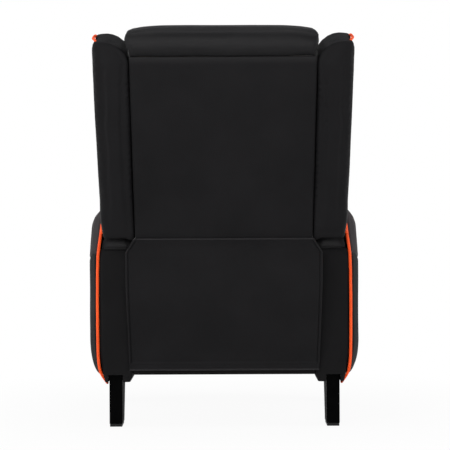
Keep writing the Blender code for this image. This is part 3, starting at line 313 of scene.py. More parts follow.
def plastic(kind):
    look = plasticSettings[kind]
    shade = Shade(bpy.data.materials.new(kind))
    cloud, speck = shade.noise(plasticFinish["cloud"], 3.0), shade.noise(plasticFinish["speck"])
    color = shade.blendColor(shade.ramp(cloud, *plasticFinish["spread"]), look["color"], look["pale"])
    rough = between(shade.ramp(speck, *plasticFinish["spread"]), *plasticFinish["rough"])
    return shade.finish(Base_Color=color, Roughness=rough, Normal=shade.bump(speck, *plasticFinish["bump"]),
                        Specular_IOR_Level=look["gloss"])


print("stage: materials")
blackLeather, tautLeather, flapLeather, armLeather, sideLeather, softLitLeather, orangeLeather = [
    leather(kind) for kind in ("black", "taut", "flap", "arm", "side", "softLit", "orange")]
blackSteel, zincSteel = [metal(kind) for kind in metalSettings]
plyWood, edgedWood, stainedWood = [wood(kind) for kind in woodSettings]
nylon, footPlastic, thread = [plastic(kind) for kind in plasticSettings]

nodeFinishes = (  # the first of these words in a node's name gives its finish
    ("piping", orangeLeather), ("glide_block", nylon), ("leg_glide", footPlastic),
    ("rear_rail", stainedWood), ("front_rail", stainedWood), ("back_frame", edgedWood),
    ("seat_frame", plyWood), ("footrest_board", plyWood), ("arm_frame", plyWood),
    ("spring", zincSteel), ("torque", zincSteel), ("base_rail", zincSteel), ("back_bracket", zincSteel),
    ("leg", blackSteel), ("link", blackSteel), ("footrest_bracket", blackSteel), ("seat_plate", blackSteel),
)


def dressNodes():
    for name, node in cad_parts.items():
        finish = next((shown for word, shown in nodeFinishes if word in name), blackLeather)
        node.data.materials.clear()
        node.data.materials.append(finish)


@contextmanager
def meshOf(piece):  # opens a piece's mesh as a bmesh and writes it back
    bm = bmesh.new()
    bm.from_mesh(piece.data)
    yield bm
    bm.to_mesh(piece.data)
    bm.free()


def newPiece(name, mesh, material):
    piece = bpy.data.objects.new(name, mesh)
    scene.collection.objects.link(piece)
    mesh.materials.clear()
    mesh.materials.append(material)
    return piece


def pieceFromBmesh(name, bm, material, smooth=True):
    mesh = bpy.data.meshes.new(name)
    bm.to_mesh(mesh)
    bm.free()
    if smooth:
        mesh.shade_smooth()
    return newPiece(name, mesh, material)


def nodeCopy(nodeName, name, material, weld=0.00005):
    bm = bmesh.new()
    bm.from_mesh(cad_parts[nodeName].data)
    bmesh.ops.remove_doubles(bm, verts=bm.verts, dist=weld)
    bmesh.ops.recalc_face_normals(bm, faces=bm.faces)
    return pieceFromBmesh(name, bm, material)


def mirrorPiece(piece, name, material):
    twin = newPiece(name, piece.data.copy(), material)
    with meshOf(twin) as bm:
        bmesh.ops.scale(bm, vec=(-1, 1, 1), verts=bm.verts)
        bmesh.ops.reverse_faces(bm, faces=bm.faces)
    twin.data.shade_smooth()
    return twin


def applyModifiers(piece):
    seen = piece.evaluated_get(bpy.context.evaluated_depsgraph_get())
    mesh = bpy.data.meshes.new_from_object(seen)
    piece.modifiers.clear()
    piece.data = mesh
    mesh.shade_smooth()


def modify(piece, kind, **settings):  # adds one modifier and applies it
    modifier = piece.modifiers.new(kind.capitalize(), kind)
    for key, value in settings.items():
        setattr(modifier, key, value)
    applyModifiers(piece)


def remeshPiece(piece, voxel):
    modify(piece, "REMESH", mode="VOXEL", voxel_size=voxel)


def smoothPiece(piece, times):
    modify(piece, "SMOOTH", iterations=times, factor=0.5)


def refine(piece):
    modify(piece, "SUBSURF", levels=1, render_levels=1)


def shrinkPiece(piece, amount):  # room for the swelling that follows
    for vert in piece.data.vertices:
        vert.co -= vert.normal * amount


def stretchEnd(piece, height, reach, near=0.0012):  # moves a flat end, to be trimmed off later
    for vert in piece.data.vertices:
        if abs(vert.co.z - height) < near:
            vert.co.z += reach


def trimPlane(piece, height, up):  # cuts off what lies above or below a height and closes the cut
    with meshOf(piece) as bm:
        everything = bm.verts[:] + bm.edges[:] + bm.faces[:]
        made = bmesh.ops.bisect_plane(bm, geom=everything, plane_co=(0, 0, height), plane_no=(0, 0, up),
                                      clear_outer=True)
        rim = [g for g in made["geom_cut"] if isinstance(g, bmesh.types.BMEdge)]
        bmesh.ops.holes_fill(bm, edges=rim, sides=0)
        for edge in rim:
            edge.smooth = False


def hullOf(piece):
    with meshOf(piece) as bm:
        made = bmesh.ops.convex_hull(bm, input=bm.verts)
        spare = [g for g in made["geom_interior"] + made["geom_unused"] if isinstance(g, bmesh.types.BMVert)]
        bmesh.ops.delete(bm, geom=list(set(spare)), context="VERTS")
        keep = {g for g in made["geom"] if isinstance(g, bmesh.types.BMFace)}
        bmesh.ops.delete(bm, geom=[f for f in bm.faces if f not in keep], context="FACES")
        bmesh.ops.recalc_face_normals(bm, faces=bm.faces)


def cutBoxes(piece, boxes):
    for low, high in boxes:
        bm = bmesh.new()
        size = Matrix.Diagonal((*(high - low), 1))
        bmesh.ops.create_cube(bm, size=1, matrix=Matrix.Translation((low + high) / 2) @ size)
        tool = pieceFromBmesh("cutTool", bm, blackLeather, False)
        modify(piece, "BOOLEAN", operation="DIFFERENCE", solver="EXACT", object=tool)
        bpy.data.objects.remove(tool)
    piece.data.set_sharp_from_angle(angle=radians(60))


def surfaceOf(data):
    return BVHTree.FromPolygons([v.co for v in data.vertices], [p.vertices[:] for p in data.polygons])


# keeps a piece by its solid: room(normal, place) is how far out a spot may stand, "inside" how far in
def holdTo(piece, nodeName, room, inside=0.004):
    tree = surfaceOf(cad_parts[nodeName].data)
    for vert in piece.data.vertices:
        place, normal = tree.find_nearest(vert.co)[:2]
        over = (vert.co - place).dot(normal)
        allowed = room(normal, vert.co)
        if over > allowed:
            vert.co = place + normal * allowed
        elif over < -inside:
            vert.co = place - (place - vert.co).normalized() * inside


clothSettings = {"frames": 20, "quality": 4, "mass": 0.4, "tension": 18, "shear": 6, "bending": 1.2,
                 "pressure": 4.0}


def swellPiece(piece, cap):  # stuffs a piece by cloth and pressure; no point moves further than cap
    look = clothSettings
    before = [v.co.copy() for v in piece.data.vertices]
    modifier = piece.modifiers.new("swell", "CLOTH")
    cloth = modifier.settings
    cloth.quality, cloth.mass = look["quality"], look["mass"]
    cloth.tension_stiffness = cloth.compression_stiffness = look["tension"]
    cloth.shear_stiffness, cloth.bending_stiffness = look["shear"], look["bending"]
    cloth.use_pressure = True
    cloth.uniform_pressure_force = look["pressure"]
    cloth.effector_weights.gravity = 0
    modifier.collision_settings.use_collision = False
    modifier.point_cache.frame_start, modifier.point_cache.frame_end = 1, look["frames"]
    for step in range(1, look["frames"] + 1):
        scene.frame_set(step)
    applyModifiers(piece)
    scene.frame_set(1)
    for vert, start in zip(piece.data.vertices, before):
        move = vert.co - start
        if move.length > cap:
            vert.co = start + move.normalized() * cap


def moveAlongNormals(piece, amountAt):
    moves = [vert.normal * amountAt(vert.co) for vert in piece.data.vertices]
    for vert, move in zip(piece.data.vertices, moves):
        vert.co += move


def pressSeam(piece, reach, width, deep):  # a groove where reach(place), the distance to the seam, is 0
    def groove(place):
        away = reach(place)
        return -deep * exp(-((away / width) ** 2)) if abs(away) < 3 * width else 0.0

    moveAlongNormals(piece, groove)


def ripple(piece, amount, scale, seed, where=None):  # small uneven moves, as of stretched leather
    shift = Vector((seed * 7.3, seed * 3.1, seed * 5.7))

    def wave(place):
        share = where(place) if where else 1.0
        spot = Vector(place[i] * scale[i] for i in range(3)) + shift
        return amount * share * noise.noise(spot) if share else 0.0

    moveAlongNormals(piece, wave)


def evenly(a, b, pitch):
    count = max(2, int((b - a).length / pitch))
    return [a.lerp(b, i / count) for i in range(count + 1)]


stitchSettings = {"size": (0.0030, 0.0008, 0.0006), "sunk": 0.2, "shortest": 0.0009, "longest": 0.0135}


def stitchRow(name, piece, starts, way, size=stitchSettings["size"]):  # stitches where rays from the starts hit
    look = stitchSettings
    tree = surfaceOf(piece.data)
    hits = [hit[:2] for hit in (tree.ray_cast(start, way, 1.0) for start in starts) if hit[0] is not None]
    bm = bmesh.new()
    for (a, normal), (b, _) in zip(hits, hits[1:]):
        along = b - a
        if not look["shortest"] <= along.length <= look["longest"]:
            continue
        side = normal.cross(along).normalized()
        turn = Matrix((along.normalized(), side, normal)).transposed().to_4x4()
        place = Matrix.Translation((a + b) / 2 + normal * size[2] * look["sunk"])
        made = bmesh.ops.create_icosphere(bm, subdivisions=1, radius=0.5)
        bmesh.ops.transform(bm, verts=made["verts"], matrix=place @ turn @ Matrix.Diagonal((*size, 1.0)))
    return pieceFromBmesh(name, bm, thread)


def declare(piece, body, nodeName, fill):
    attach(piece, body)
    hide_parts(nodeName)


print("stage: arms")
armSettings = {
    "seam": 0.478, "seamGap": 0.0002, "spare": 0.012,  # the seam under the pad
    "groove": (0.0020, 0.0014), "stitchOff": 0.0040,
    "cover": {"voxel": 0.0065, "ripple": (0.0013, (6, 6, 9)), "seed": 1, "lowCut": 0.0015, "fill": 0.9},
    # the legs' notches: clear of the leg, past the arm's end, below and above the arm's lower edge
    "notch": {"clear": 0.002, "past": 0.02, "under": 0.01, "high": 0.0205},
    "pad": {"voxel": 0.0055, "ripple": (0.0020, (9, 6, 20)), "seed": 4, "shrink": 0.004, "cap": 0.010,
            "fill": 0.8, "room": 0.005, "seamRoom": 0.001, "nearSeam": 0.02,  # how far it may swell
            "facing": (0.5, -0.5, 0.3),  # normals beyond these count as rear, inner and outer
            "panelTop": 0.598, "endAt": 0.26,  # below this height the pad lies under the side panel
            "slope": 0.17, "slopeHigh": 0.045, "slopeFrom": (0.245, 0.265)},
    "panel": {"voxel": 0.0065, "ripple": (0.0018, (5, 7, 9)), "seed": 8, "groove": (0.0032, 0.0045),
              "fill": 0.8},
    # from and to these distances from the arm's inner side, by rays from that far off
    "stitch": {"size": (0.0034, 0.0024, 0.0012), "pitch": 0.0046,
               "from": 0.006, "rear": 0.080, "front": 0.112, "off": 0.1},
}


def armSeamGroove(piece):
    look = armSettings
    pressSeam(piece, lambda p: abs(p.z - look["seam"]) - look["stitchOff"], *look["groove"])


def legNotches(side, low, high):  # the boxes that the legs take out of the arm's lower edge
    look = armSettings["notch"]
    edge = Vector((look["clear"], look["clear"], 0))
    for leg in ("rear_leg_", "front_leg_"):
        legLow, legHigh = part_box(leg + side)
        near, far = legLow - edge, legHigh + edge
        if leg == "rear_leg_":
            far.y = high.y + look["past"]
        else:
            near.y = low.y - look["past"]
        near.z, far.z = low.z - look["under"], low.z + look["high"]
        yield near, far


def makeArmCover(side, index):
    look = armSettings["cover"]
    nodeName = "arm_cover_" + side
    cover = nodeCopy(nodeName, "armCover." + side, armLeather)
    low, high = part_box(nodeName)
    hullOf(cover)
    stretchEnd(cover, high.z, armSettings["spare"])
    stretchEnd(cover, low.z, -armSettings["spare"])
    remeshPiece(cover, look["voxel"])
    ripple(cover, *look["ripple"], look["seed"] + index)
    refine(cover)
    trimPlane(cover, armSettings["seam"] - armSettings["seamGap"], 1)
    trimPlane(cover, low.z + look["lowCut"], -1)
    armSeamGroove(cover)
    cutBoxes(cover, legNotches(side, low, high))
    declare(cover, "base", nodeName, look["fill"])
    return cover


def makeArmPads():
    look, seam = armSettings["pad"], armSettings["seam"]
    pad = nodeCopy("arm_pad_left", "armPad.left", softLitLeather)
    stretchEnd(pad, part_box("arm_pad_left")[0].z, -armSettings["spare"])
    shrinkPiece(pad, look["shrink"])
    remeshPiece(pad, look["voxel"])
    swellPiece(pad, look["cap"])

    def room(normal, place):
        rear, inner, outer = look["facing"]
        if place.z < seam + look["nearSeam"]:
            return look["seamRoom"] if normal.y > rear else 0.0
        if normal.x < inner or (normal.x > outer and place.z < look["panelTop"]):
            return 0.0
        return look["room"]

    def loose(place):  # what the side panel doesn't cover
        return 1.0 if place.z > look["panelTop"] or place.y > look["endAt"] else 0.0

    holdTo(pad, "arm_pad_left", room)
    for vert in pad.data.vertices:  # the stuffed rear end leans forward above its seam
        up = min(max(vert.co.z - seam, 0), look["slopeHigh"])
        vert.co.y -= up * look["slope"] * steady(vert.co.y, *look["slopeFrom"])
    pads = {"left": pad, "right": mirrorPiece(pad, "armPad.right", softLitLeather)}
    for index, (side, piece) in enumerate(pads.items()):
        ripple(piece, *look["ripple"], look["seed"] + index, loose)
        refine(piece)
        trimPlane(piece, seam + armSettings["seamGap"], -1)
        armSeamGroove(piece)
        declare(piece, "base", "arm_pad_" + side, look["fill"])
    return pads


def makeArmPanel(side, index):
    look = armSettings["panel"]
    nodeName = "arm_side_panel_" + side
    panel = nodeCopy(nodeName, "armSidePanel." + side, sideLeather)
    remeshPiece(panel, look["voxel"])
    smoothPiece(panel, 3)
    ripple(panel, *look["ripple"], look["seed"] + index)
    refine(panel)
    pressSeam(panel, lambda p: p.z - sideSeam["height"] - sideSeam["rise"] * p.y, *look["groove"])
    declare(panel, "base", nodeName, look["fill"])


def makeArmStitches(name, piece, side, s, off):  # a row beside the pad's seam, on the arm's rear and front ends
    look = armSettings["stitch"]
    low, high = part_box("arm_cover_" + side)
    inner = low.x if s > 0 else high.x
    height = armSettings["seam"] + off
    for end, y, way in (("rear", high.y + look["off"], -1), ("front", low.y - look["off"], 1)):
        first = Vector((inner + s * look["from"], y, height))
        last = Vector((inner + s * look[end], y, height))
        row = stitchRow(f"{name}.{end}.{side}", piece, evenly(first, last, look["pitch"]),
                        Vector((0, way, 0)), look["size"])
        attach(row, "base")


def makeArms():
    pads = makeArmPads()
    for index, (side, s) in enumerate(sides):
        cover = makeArmCover(side, index)
        makeArmPanel(side, index)
        makeArmStitches("armCoverStitches", cover, side, s, -armSettings["stitchOff"])
        makeArmStitches("armPadStitches", pads[side], side, s, armSettings["stitchOff"])


makeArms()


print("stage: pipings")
# the welts lie as their solids do, but for these bends; heights of the wing's are along the back
pipeSettings = {
    "wing": {
        "top": 0.684, "before": 0.03,  # the welt turns in over the wing's top, from "before" below it
        "in": 0.0035, "turnIn": 0.0090, "turn": (0.030, 0.095), "frontIn": 0.0030, "frontTo": 0.02,
        "frontFrom": -0.030, "shorter": 0.80,
        "up": 0.0042, "upFrom": (0.664, 0.694),
        "sunkBelow": 0.4, "sunk": 0.0026, "sunkFrom": (0.205, 0.225),
    },
    "arm": {  # at its rear the upper part is tucked in, and the lower end curls in under the arm's corner
        "rear": 0.200, "curlBy": 0.250,
        "tuck": 0.0030, "tuckFrom": (0.545, 0.556),
        "out": 0.0018, "outBelow": 0.215, "outReach": 0.055,
        "endHigh": 0.152, "endReach": 0.028, "endWay": (-0.0130, 0.0080, -0.0110),
    },
    "flatAngle": 60,  # degrees; triangles that meet at less are joined before the welt is made round
    "fill": 1.0,
}


def bendWingPiping(piece, s):
    look = pipeSettings["wing"]
    for vert in piece.data.vertices:
        spot = toBack(vert.co)
        up = look["up"] * easy(spot.z, *look["upFrom"])
        if spot.z > look["top"] and spot.y > look["frontFrom"]:
            front = look["frontIn"] * (1 - easy(spot.y, look["frontFrom"], look["frontTo"]))
            spot.x -= s * (look["in"] + look["turnIn"] * easy(spot.y, *look["turn"]) + front)
            spot.y = look["frontFrom"] + (spot.y - look["frontFrom"]) * look["shorter"]
        elif spot.z > look["top"] - look["before"]:
            share = easy(spot.z, look["top"] - look["before"], look["top"])
            spot.x -= s * (look["in"] + look["frontIn"]) * share
        elif spot.z < look["sunkBelow"]:
            spot.x -= s * look["sunk"] * easy(spot.z, *look["sunkFrom"])
        spot.z += up
        vert.co = fromBack(*spot)


def bendArmPiping(piece, s):
    look = pipeSettings["arm"]
    side, rear, down = look["endWay"]
    for vert in piece.data.vertices:
        place = vert.co
        if place.y > look["rear"]:
            place.x -= s * look["tuck"] * easy(place.z, *look["tuckFrom"])
            share = easy(look["endHigh"] - place.z, 0, look["endReach"])
            share *= easy(place.y, look["rear"], look["curlBy"])
            place.x += s * look["out"] * easy(look["outBelow"] - place.z, 0, look["outReach"])
            vert.co = place + Vector((s * side, rear, down)) * share


def makePipings():
    flat = radians(pipeSettings["flatAngle"])
    for part, body, bend in (("arm", "base", bendArmPiping), ("wing", "backrest", bendWingPiping)):
        for side, s in sides:
            nodeName = f"{part}_piping_{side}"
            piece = nodeCopy(nodeName, f"{part}Piping.{side}", orangeLeather)
            with meshOf(piece) as bm:
                bmesh.ops.join_triangles(bm, faces=bm.faces, angle_face_threshold=flat,
                                         angle_shape_threshold=flat)
            refine(piece)
            bend(piece, s)
            declare(piece, body, nodeName, pipeSettings["fill"])


makePipings()


print("stage: wings")
wingSettings = {
    "voxel": 0.0045, "shrink": 0.0015, "cap": 0.007, "inside": 0.0010, "fill": 0.8,
    "ripple": (0.0012, (12, 12, 6)), "seed": 12,
    "rearRoom": 0.0045, "sideRoom": 0.0015,  # how far the rear face and the sides may swell
    "rearFacing": 0.6, "sideFacing": 0.5,  # normals beyond these count as on the rear, on a side or the top
    "ends": (0.183, 0.701),  # heights along the back
    "crown": 0.0045, "crownFrom": (0.275, 0.320),  # the outer side, fullest half way up
    "lowBulge": (0.236, 0.030, 0.0030),  # height along the back, reach, amount
    "topUp": (0.655, 0.700, 0.0040),  # from and to these heights, amount
    "topLean": (0.640, 0.700, 0.0045), "rearFrom": (0.08, 0.10),
    # the lower inner corner, filled down: out to and in from these distances, heights above and below, amount
    "corner": (0.262, 0.240, 0.202, 0.186, 0.0070),
}


def shapeWing(wing):
    look = wingSettings
    bottom, top = look["ends"]
    middle, reach, bulge = look["lowBulge"]
    upFrom, upTo, up = look["topUp"]
    leanFrom, leanTo, lean = look["topLean"]
    outer, inner, above, under, drop = look["corner"]
    for vert in wing.data.vertices:
        height = toBack(vert.co).z
        along = (height - bottom) / (top - bottom)
        if 0 < along < 1:
            out = look["crown"] * sin(pi * along) + bulge * exp(-((height - middle) / reach) ** 2)
            vert.co.x += out * steady(vert.co.x, *look["crownFrom"])
        spot = toBack(vert.co)
        vert.co += backUp * up * steady(spot.z, upFrom, upTo)
        vert.co -= backRear * lean * easy(spot.z, leanFrom, leanTo) * easy(spot.y, *look["rearFrom"])
        vert.co -= backUp * drop * easy(-vert.co.x, -outer, -inner) * easy(-spot.z, -above, -under)


def makeWings():
    look = wingSettings
    wing = nodeCopy("wing_left", "wing.left", blackLeather)
    shrinkPiece(wing, look["shrink"])
    remeshPiece(wing, look["voxel"])
    smoothPiece(wing, 1)
    swellPiece(wing, look["cap"])

    def room(normal, place):
        if normal.dot(backRear) > look["rearFacing"]:
            return look["rearRoom"]
        return look["sideRoom"] if max(normal.x, normal.dot(backUp)) > look["sideFacing"] else 0.0

    holdTo(wing, "wing_left", room, look["inside"])
    shapeWing(wing)
    wings = {"left": wing, "right": mirrorPiece(wing, "wing.right", blackLeather)}
    for index, (side, piece) in enumerate(wings.items()):
        ripple(piece, *look["ripple"], look["seed"] + index)
        refine(piece)
        declare(piece, "backrest", "wing_" + side, look["fill"])


makeWings()


print("stage: backrest panel")
panelSettings = {
    "columns": 150, "rows": 150, "fineColumns": (0.016, 0.07), "fineRows": (0.015, 0.06), "fill": 0.9,
    "low": 0.168, "high": 0.667,  # heights along the back
    "half": (0.235, 0.244), "widens": (0.183, 0.701),  # half widths, and the heights that they belong to
    "rear": 0.106, "base": 0.1001,  # the plate's rear and front face, to the rear of the pivot
    "clear": 0.0002, "thinnest": 0.0001,
    "edgeRound": 0.0060, "topRound": 0.0040, "edgeShare": 0.80, "crown": 0.0024,
    "waves": (0.0012, 0.0005), "waveScale": (7, 5), "waveEase": 20,
    "topLean": (0.018, 0.0018),  # the panel leans in under the head roll: reach, amount
}


def shareFine(u, edge, share):  # spreads a grid's lines so that that share of them lies within each edge
    if u < share:
        return u / share * edge
    if u > 1 - share:
        return 1 - (1 - u) / share * edge
    return edge + (u - share) / (1 - 2 * share) * (1 - 2 * edge)


def gridOf(columns, rows, place):  # a bmesh of a grid whose points lie at place(u, v)
    bm = bmesh.new()
    bmesh.ops.create_grid(bm, x_segments=columns, y_segments=rows, size=0.5)
    for vert in bm.verts:
        vert.co = place(vert.co.x + 0.5, vert.co.y + 0.5)
    return bm


def edgeDrop(distance, radius):  # how far a rounded edge lies back at that distance from its end
    if distance >= radius:
        return 0.0
    return radius - (radius ** 2 - (radius - max(distance, 0)) ** 2) ** 0.5


def panelPlace(u, v):
    look = panelSettings
    u, v = shareFine(u, *look["fineColumns"]), shareFine(v, *look["fineRows"])
    z = between(v, look["low"], look["high"])
    low, high = look["widens"]
    half = between(max(z - low, 0) / (high - low), *look["half"]) - look["clear"]
    across = 2 * u - 1
    x = half * across
    t = look["rear"] + look["crown"] * (1 - across ** 4) * max(sin(pi * v), 0) ** 0.5
    wide, tall = look["waveScale"]
    spot = Vector((x * wide, t, z * tall))
    wave, smallWave = look["waves"]
    t += (wave * noise.noise(spot) + smallWave * noise.noise(spot * 4)) * min(1, look["waveEase"] * v * (1 - v))
    drop = edgeDrop(half - abs(x), look["edgeRound"]) + edgeDrop(z - look["low"], look["edgeRound"])
    drop += edgeDrop(look["high"] - z, look["topRound"])
    t -= min(drop, look["edgeRound"]) * look["edgeShare"]
    reach, lean = look["topLean"]
    t -= lean * max(1 - (look["high"] - z) / reach, 0) ** 2
    return fromBack(-x, max(t, look["base"] + look["thinnest"]), z)


def makeBackPanel():  # a crowned plate whose rim runs down to a flat base
    look = panelSettings
    bm = gridOf(look["columns"], look["rows"], panelPlace)
    made = bmesh.ops.extrude_edge_only(bm, edges=[edge for edge in bm.edges if edge.is_boundary])
    for vert in made["geom"]:
        if isinstance(vert, bmesh.types.BMVert):
            vert.co -= backRear * (toBack(vert.co).y - look["base"])
    bmesh.ops.holes_fill(bm, edges=[edge for edge in bm.edges if edge.is_boundary], sides=0)
    bmesh.ops.recalc_face_normals(bm, faces=bm.faces)
    piece = pieceFromBmesh("backPanel", bm, tautLeather)
    piece.data.set_sharp_from_angle(angle=radians(70))
    declare(piece, "backrest", "back_panel", look["fill"])


makeBackPanel()


print("stage: cushions")
# "face" is the side that swells most, "spare" a lower edge that is cut straight later
cushionSettings = {
    "seat_cushion": {"body": "seat", "voxel": 0.007, "shrink": 0.010, "cap": 0.024, "fill": 0.75,
                     "face": (0, 0, 1), "faceRoom": 0.010, "inside": 0.007, "seed": 21,
                     "channels": (0.0805, 0.0050, 0.0065)},  # sideways place, width, depth
    "lumbar_cushion": {"body": "backrest", "voxel": 0.006, "shrink": 0.008, "cap": 0.022, "fill": 0.7,
                       "face": -backRear, "faceRoom": 0.010, "inside": 0.006, "seed": 23,
                       "channels": (0.0805, 0.0045, 0.0060)},
    "back_cushion": {"body": "backrest", "voxel": 0.006, "shrink": 0.008, "cap": 0.022, "fill": 0.7,
                     "face": -backRear, "faceRoom": 0.012, "inside": 0.006, "seed": 22,
                     "channels": (0.0805, 0.0045, 0.0060)},
    "footrest_pad": {"body": "footrest", "voxel": 0.006, "shrink": 0.006, "cap": 0.012, "fill": 0.7,
                     "face": (0, -1, 0), "faceRoom": 0.006, "inside": 0.005, "seed": 25,
                     "channels": (0.0805, 0.0040, 0.0050)},
    "head_cushion": {"body": "backrest", "voxel": 0.005, "shrink": 0.003, "cap": 0.008, "fill": 0.8,
                     "face": backRear, "faceRoom": 0.004, "inside": 0.0022, "seed": 24,
                     "spare": 0.012, "spareFrom": (0.05, 0.686), "spareTop": 0.692},
}
# for all: room at the other sides, the normals that count as on the face, how uneven the hide is
cushionShape = {"room": 0.0004, "facing": 0.6, "ripple": (0.0014, (9, 9, 9))}


def makeCushion(nodeName, material=blackLeather):
    look = cushionSettings[nodeName]
    first, last = nodeName.split("_")
    piece = nodeCopy(nodeName, first + last.capitalize(), material)
    shrinkPiece(piece, look["shrink"])
    if "spare" in look:
        behind, below = look["spareFrom"]
        for vert in piece.data.vertices:
            spot = toBack(vert.co)
            if spot.y > behind and spot.z < below:
                vert.co -= backUp * look["spare"]
    remeshPiece(piece, look["voxel"])
    smoothPiece(piece, 2)
    swellPiece(piece, look["cap"])
    face = Vector(look["face"])

    def room(normal, place):
        if normal.dot(face) > cushionShape["facing"]:
            return look["faceRoom"]
        if "spare" in look and toBack(place).z < look["spareTop"]:
            return look["spare"]
        return cushionShape["room"]

    holdTo(piece, nodeName, room, look["inside"])
    smoothPiece(piece, 1)
    ripple(piece, *cushionShape["ripple"], look["seed"])
    refine(piece)
    if "channels" in look:
        aside, width, deep = look["channels"]
        pressSeam(piece, lambda p: abs(p.x) - aside, width, deep)
    declare(piece, look["body"], nodeName, look["fill"])
    print("cushion", nodeName, len(piece.data.polygons))
    return piece


headSettings = {  # distances to the rear of the pivot, and heights along the back
    "crown": 0.0050, "crownFrom": (0.150, 0.225), "crownHigh": (0.690, 0.735),  # the top falls off to its ends
    "wider": 0.027, "widerFrom": (0.684, 0.698), "aside": 0.0030,
    "lip": 0.0068, "lipAt": 0.688, "lipReach": 0.017, "lipBehind": (0.08, 0.10),  # fullest above the sewn seam
    # below the lip the cover is drawn down behind the frame, longer and a little narrower
    "skirtFrom": 0.700, "skirtLonger": 1.9, "skirtBehind": (0.06, 0.09),
    "half": 0.251, "skirtHalf": 0.2425, "skirtAside": 0.0012, "narrowFrom": (-0.712, -0.675),
    "pinch": ((0.249, 0.118, 0.706), 0.008, 0.004),  # a dent at the one end: place on the back, width, depth
    "crease": (0.0032, (24, 46, 46)), "creaseSeed": 31, "creaseFrom": (0.212, 0.250), "creaseGrowth": 1.5,
    "frameTop": 0.6814, "frameFront": 0.0298, "frameRear": 0.1002, "frontSkin": 0.012, "seam": 0.6674,
}


def stuffHead(head):
    look = headSettings
    for vert in head.data.vertices:
        spot = toBack(vert.co)
        inner, outer = look["crownFrom"]
        drop = max(abs(spot.x) - inner, 0) / (outer - inner)
        vert.co -= backUp * (look["crown"] * drop ** 2 * steady(spot.z, *look["crownHigh"]))
        vert.co.x *= 1 + look["wider"] * steady(spot.z, *look["widerFrom"])
        below = look["skirtFrom"] - spot.z
        if spot.y > look["skirtBehind"][0] and below > 0:
            longer = below * look["skirtLonger"] * easy(spot.y, *look["skirtBehind"])
            vert.co -= backUp * longer
            spot.z -= longer
        away = (spot.z - look["lipAt"]) / look["lipReach"]
        vert.co += backRear * (look["lip"] * exp(-away * away) * steady(spot.y, *look["lipBehind"]))
        narrow = easy(-spot.z, *look["narrowFrom"])
        vert.co.x *= 1 + (look["skirtHalf"] / look["half"] - 1) * narrow
        vert.co.x += look["aside"] + (look["skirtAside"] - look["aside"]) * narrow


def pressToFrame(head):  # against the wooden frame inside, and level along the seam
    look = headSettings
    for vert in head.data.vertices:
        spot = toBack(vert.co)
        if look["frameFront"] < spot.y < look["frameRear"] and spot.z < look["frameTop"]:
            if spot.y - look["frameFront"] < look["frontSkin"]:
                spot.y = look["frameFront"]
            else:
                spot.z = look["frameTop"]
        elif spot.y >= look["frameRear"] and spot.z < look["seam"]:
            spot.z = look["seam"]
        vert.co = fromBack(*spot)


def makeHeadCushion():
    look = headSettings
    head = makeCushion("head_cushion", softLitLeather)
    stuffHead(head)
    place, width, deep = look["pinch"]
    dent = fromBack(*place)
    pressSeam(head, lambda p: (p - dent).length, width, deep)
    ripple(head, *look["crease"], look["creaseSeed"],
           lambda p: steady(abs(p.x), *look["creaseFrom"]) ** look["creaseGrowth"])
    pressToFrame(head)


for nodeName in ("seat_cushion", "lumbar_cushion", "back_cushion", "footrest_pad"):
    makeCushion(nodeName)
makeHeadCushion()


print("stage: rear flap")
flapSettings = {
    "flat": (0.520, 0.356),  # as cut
    "columns": 170, "rows": 150, "fineColumns": (0.02, 0.08), "fineRows": (0.055, 0.16), "thick": 0.0020,
    "low": 0.1530, "top": 0.5072, "half": 0.260, "halfLow": 0.2535, "halfTop": 0.237, "widens": 1.6,
    "cut": 0.037, "cutSlope": 0.85,  # the cut corners' height, and how far off they are for their slope
    "rear": 0.2886, "topClear": 0.0025, "sag": 0.006, "sideSag": 0.4,
    "waves": (0.0028, 0.0010), "waveScale": (5, 7), "heldFrom": 8, "hemWave": (0.0030, 9, 2.0, -0.2),
    "curl": (0.0035, 0.016),  # amount and reach of the sides' turn to the rear
    "hem": 0.0055, "hemLow": 0.0195, "lift": 0.0020, "rim": 0.0026, "flare": 0.8,
    "hemSlope": 0.25, "hemGroove": (0.0014, 0.0014),  # depth and width of the groove along the stitches
    "bead": (0.0028, 0.0014, 0.0014),  # the rolled edge: distance from the rim, width, height
    "topFold": (0.0036, 0.0030, 0.014),  # rim, rise and reach of the fold along the top
    "stitchIn": 0.0030, "sideStitchIn": 0.0040, "stitchHalf": 0.246, "stitchPitch": 0.0048, "stitchUp": 0.02,
    "stitchRays": 0.5,  # found by rays from here
    "bend": ((0, 0.3184, 0.30), (0, 0.3315, 0.386)),  # where the real flap bends as the backrest reclines; read here, but nothing makes it bend
}


def roundedRim(distance, width):
    share = steady(distance, 0, width)
    return share * (2 - share)


def hemLift(distance, width, flare=0.0):  # a folded edge: raised to its sewn line, then a small groove
    look = flapSettings
    if distance < width:
        rise = 1 - look["hemSlope"] * (distance / width) ** 2 + flare * (1 - distance / width)
        return look["lift"] * roundedRim(distance, look["rim"]) * rise
    deep, wide = look["hemGroove"]
    return -deep * exp(-((distance - width) / wide) ** 2)


def flapTopDepth():  # where the top edge lies against the panel
    look = flapSettings
    rear = panelSettings["rear"]
    along = (look["top"] - pivot.z + rear * sin(leanAngle)) / cos(leanAngle)
    return pivot.y + rear * cos(leanAngle) + along * sin(leanAngle) + look["topClear"]


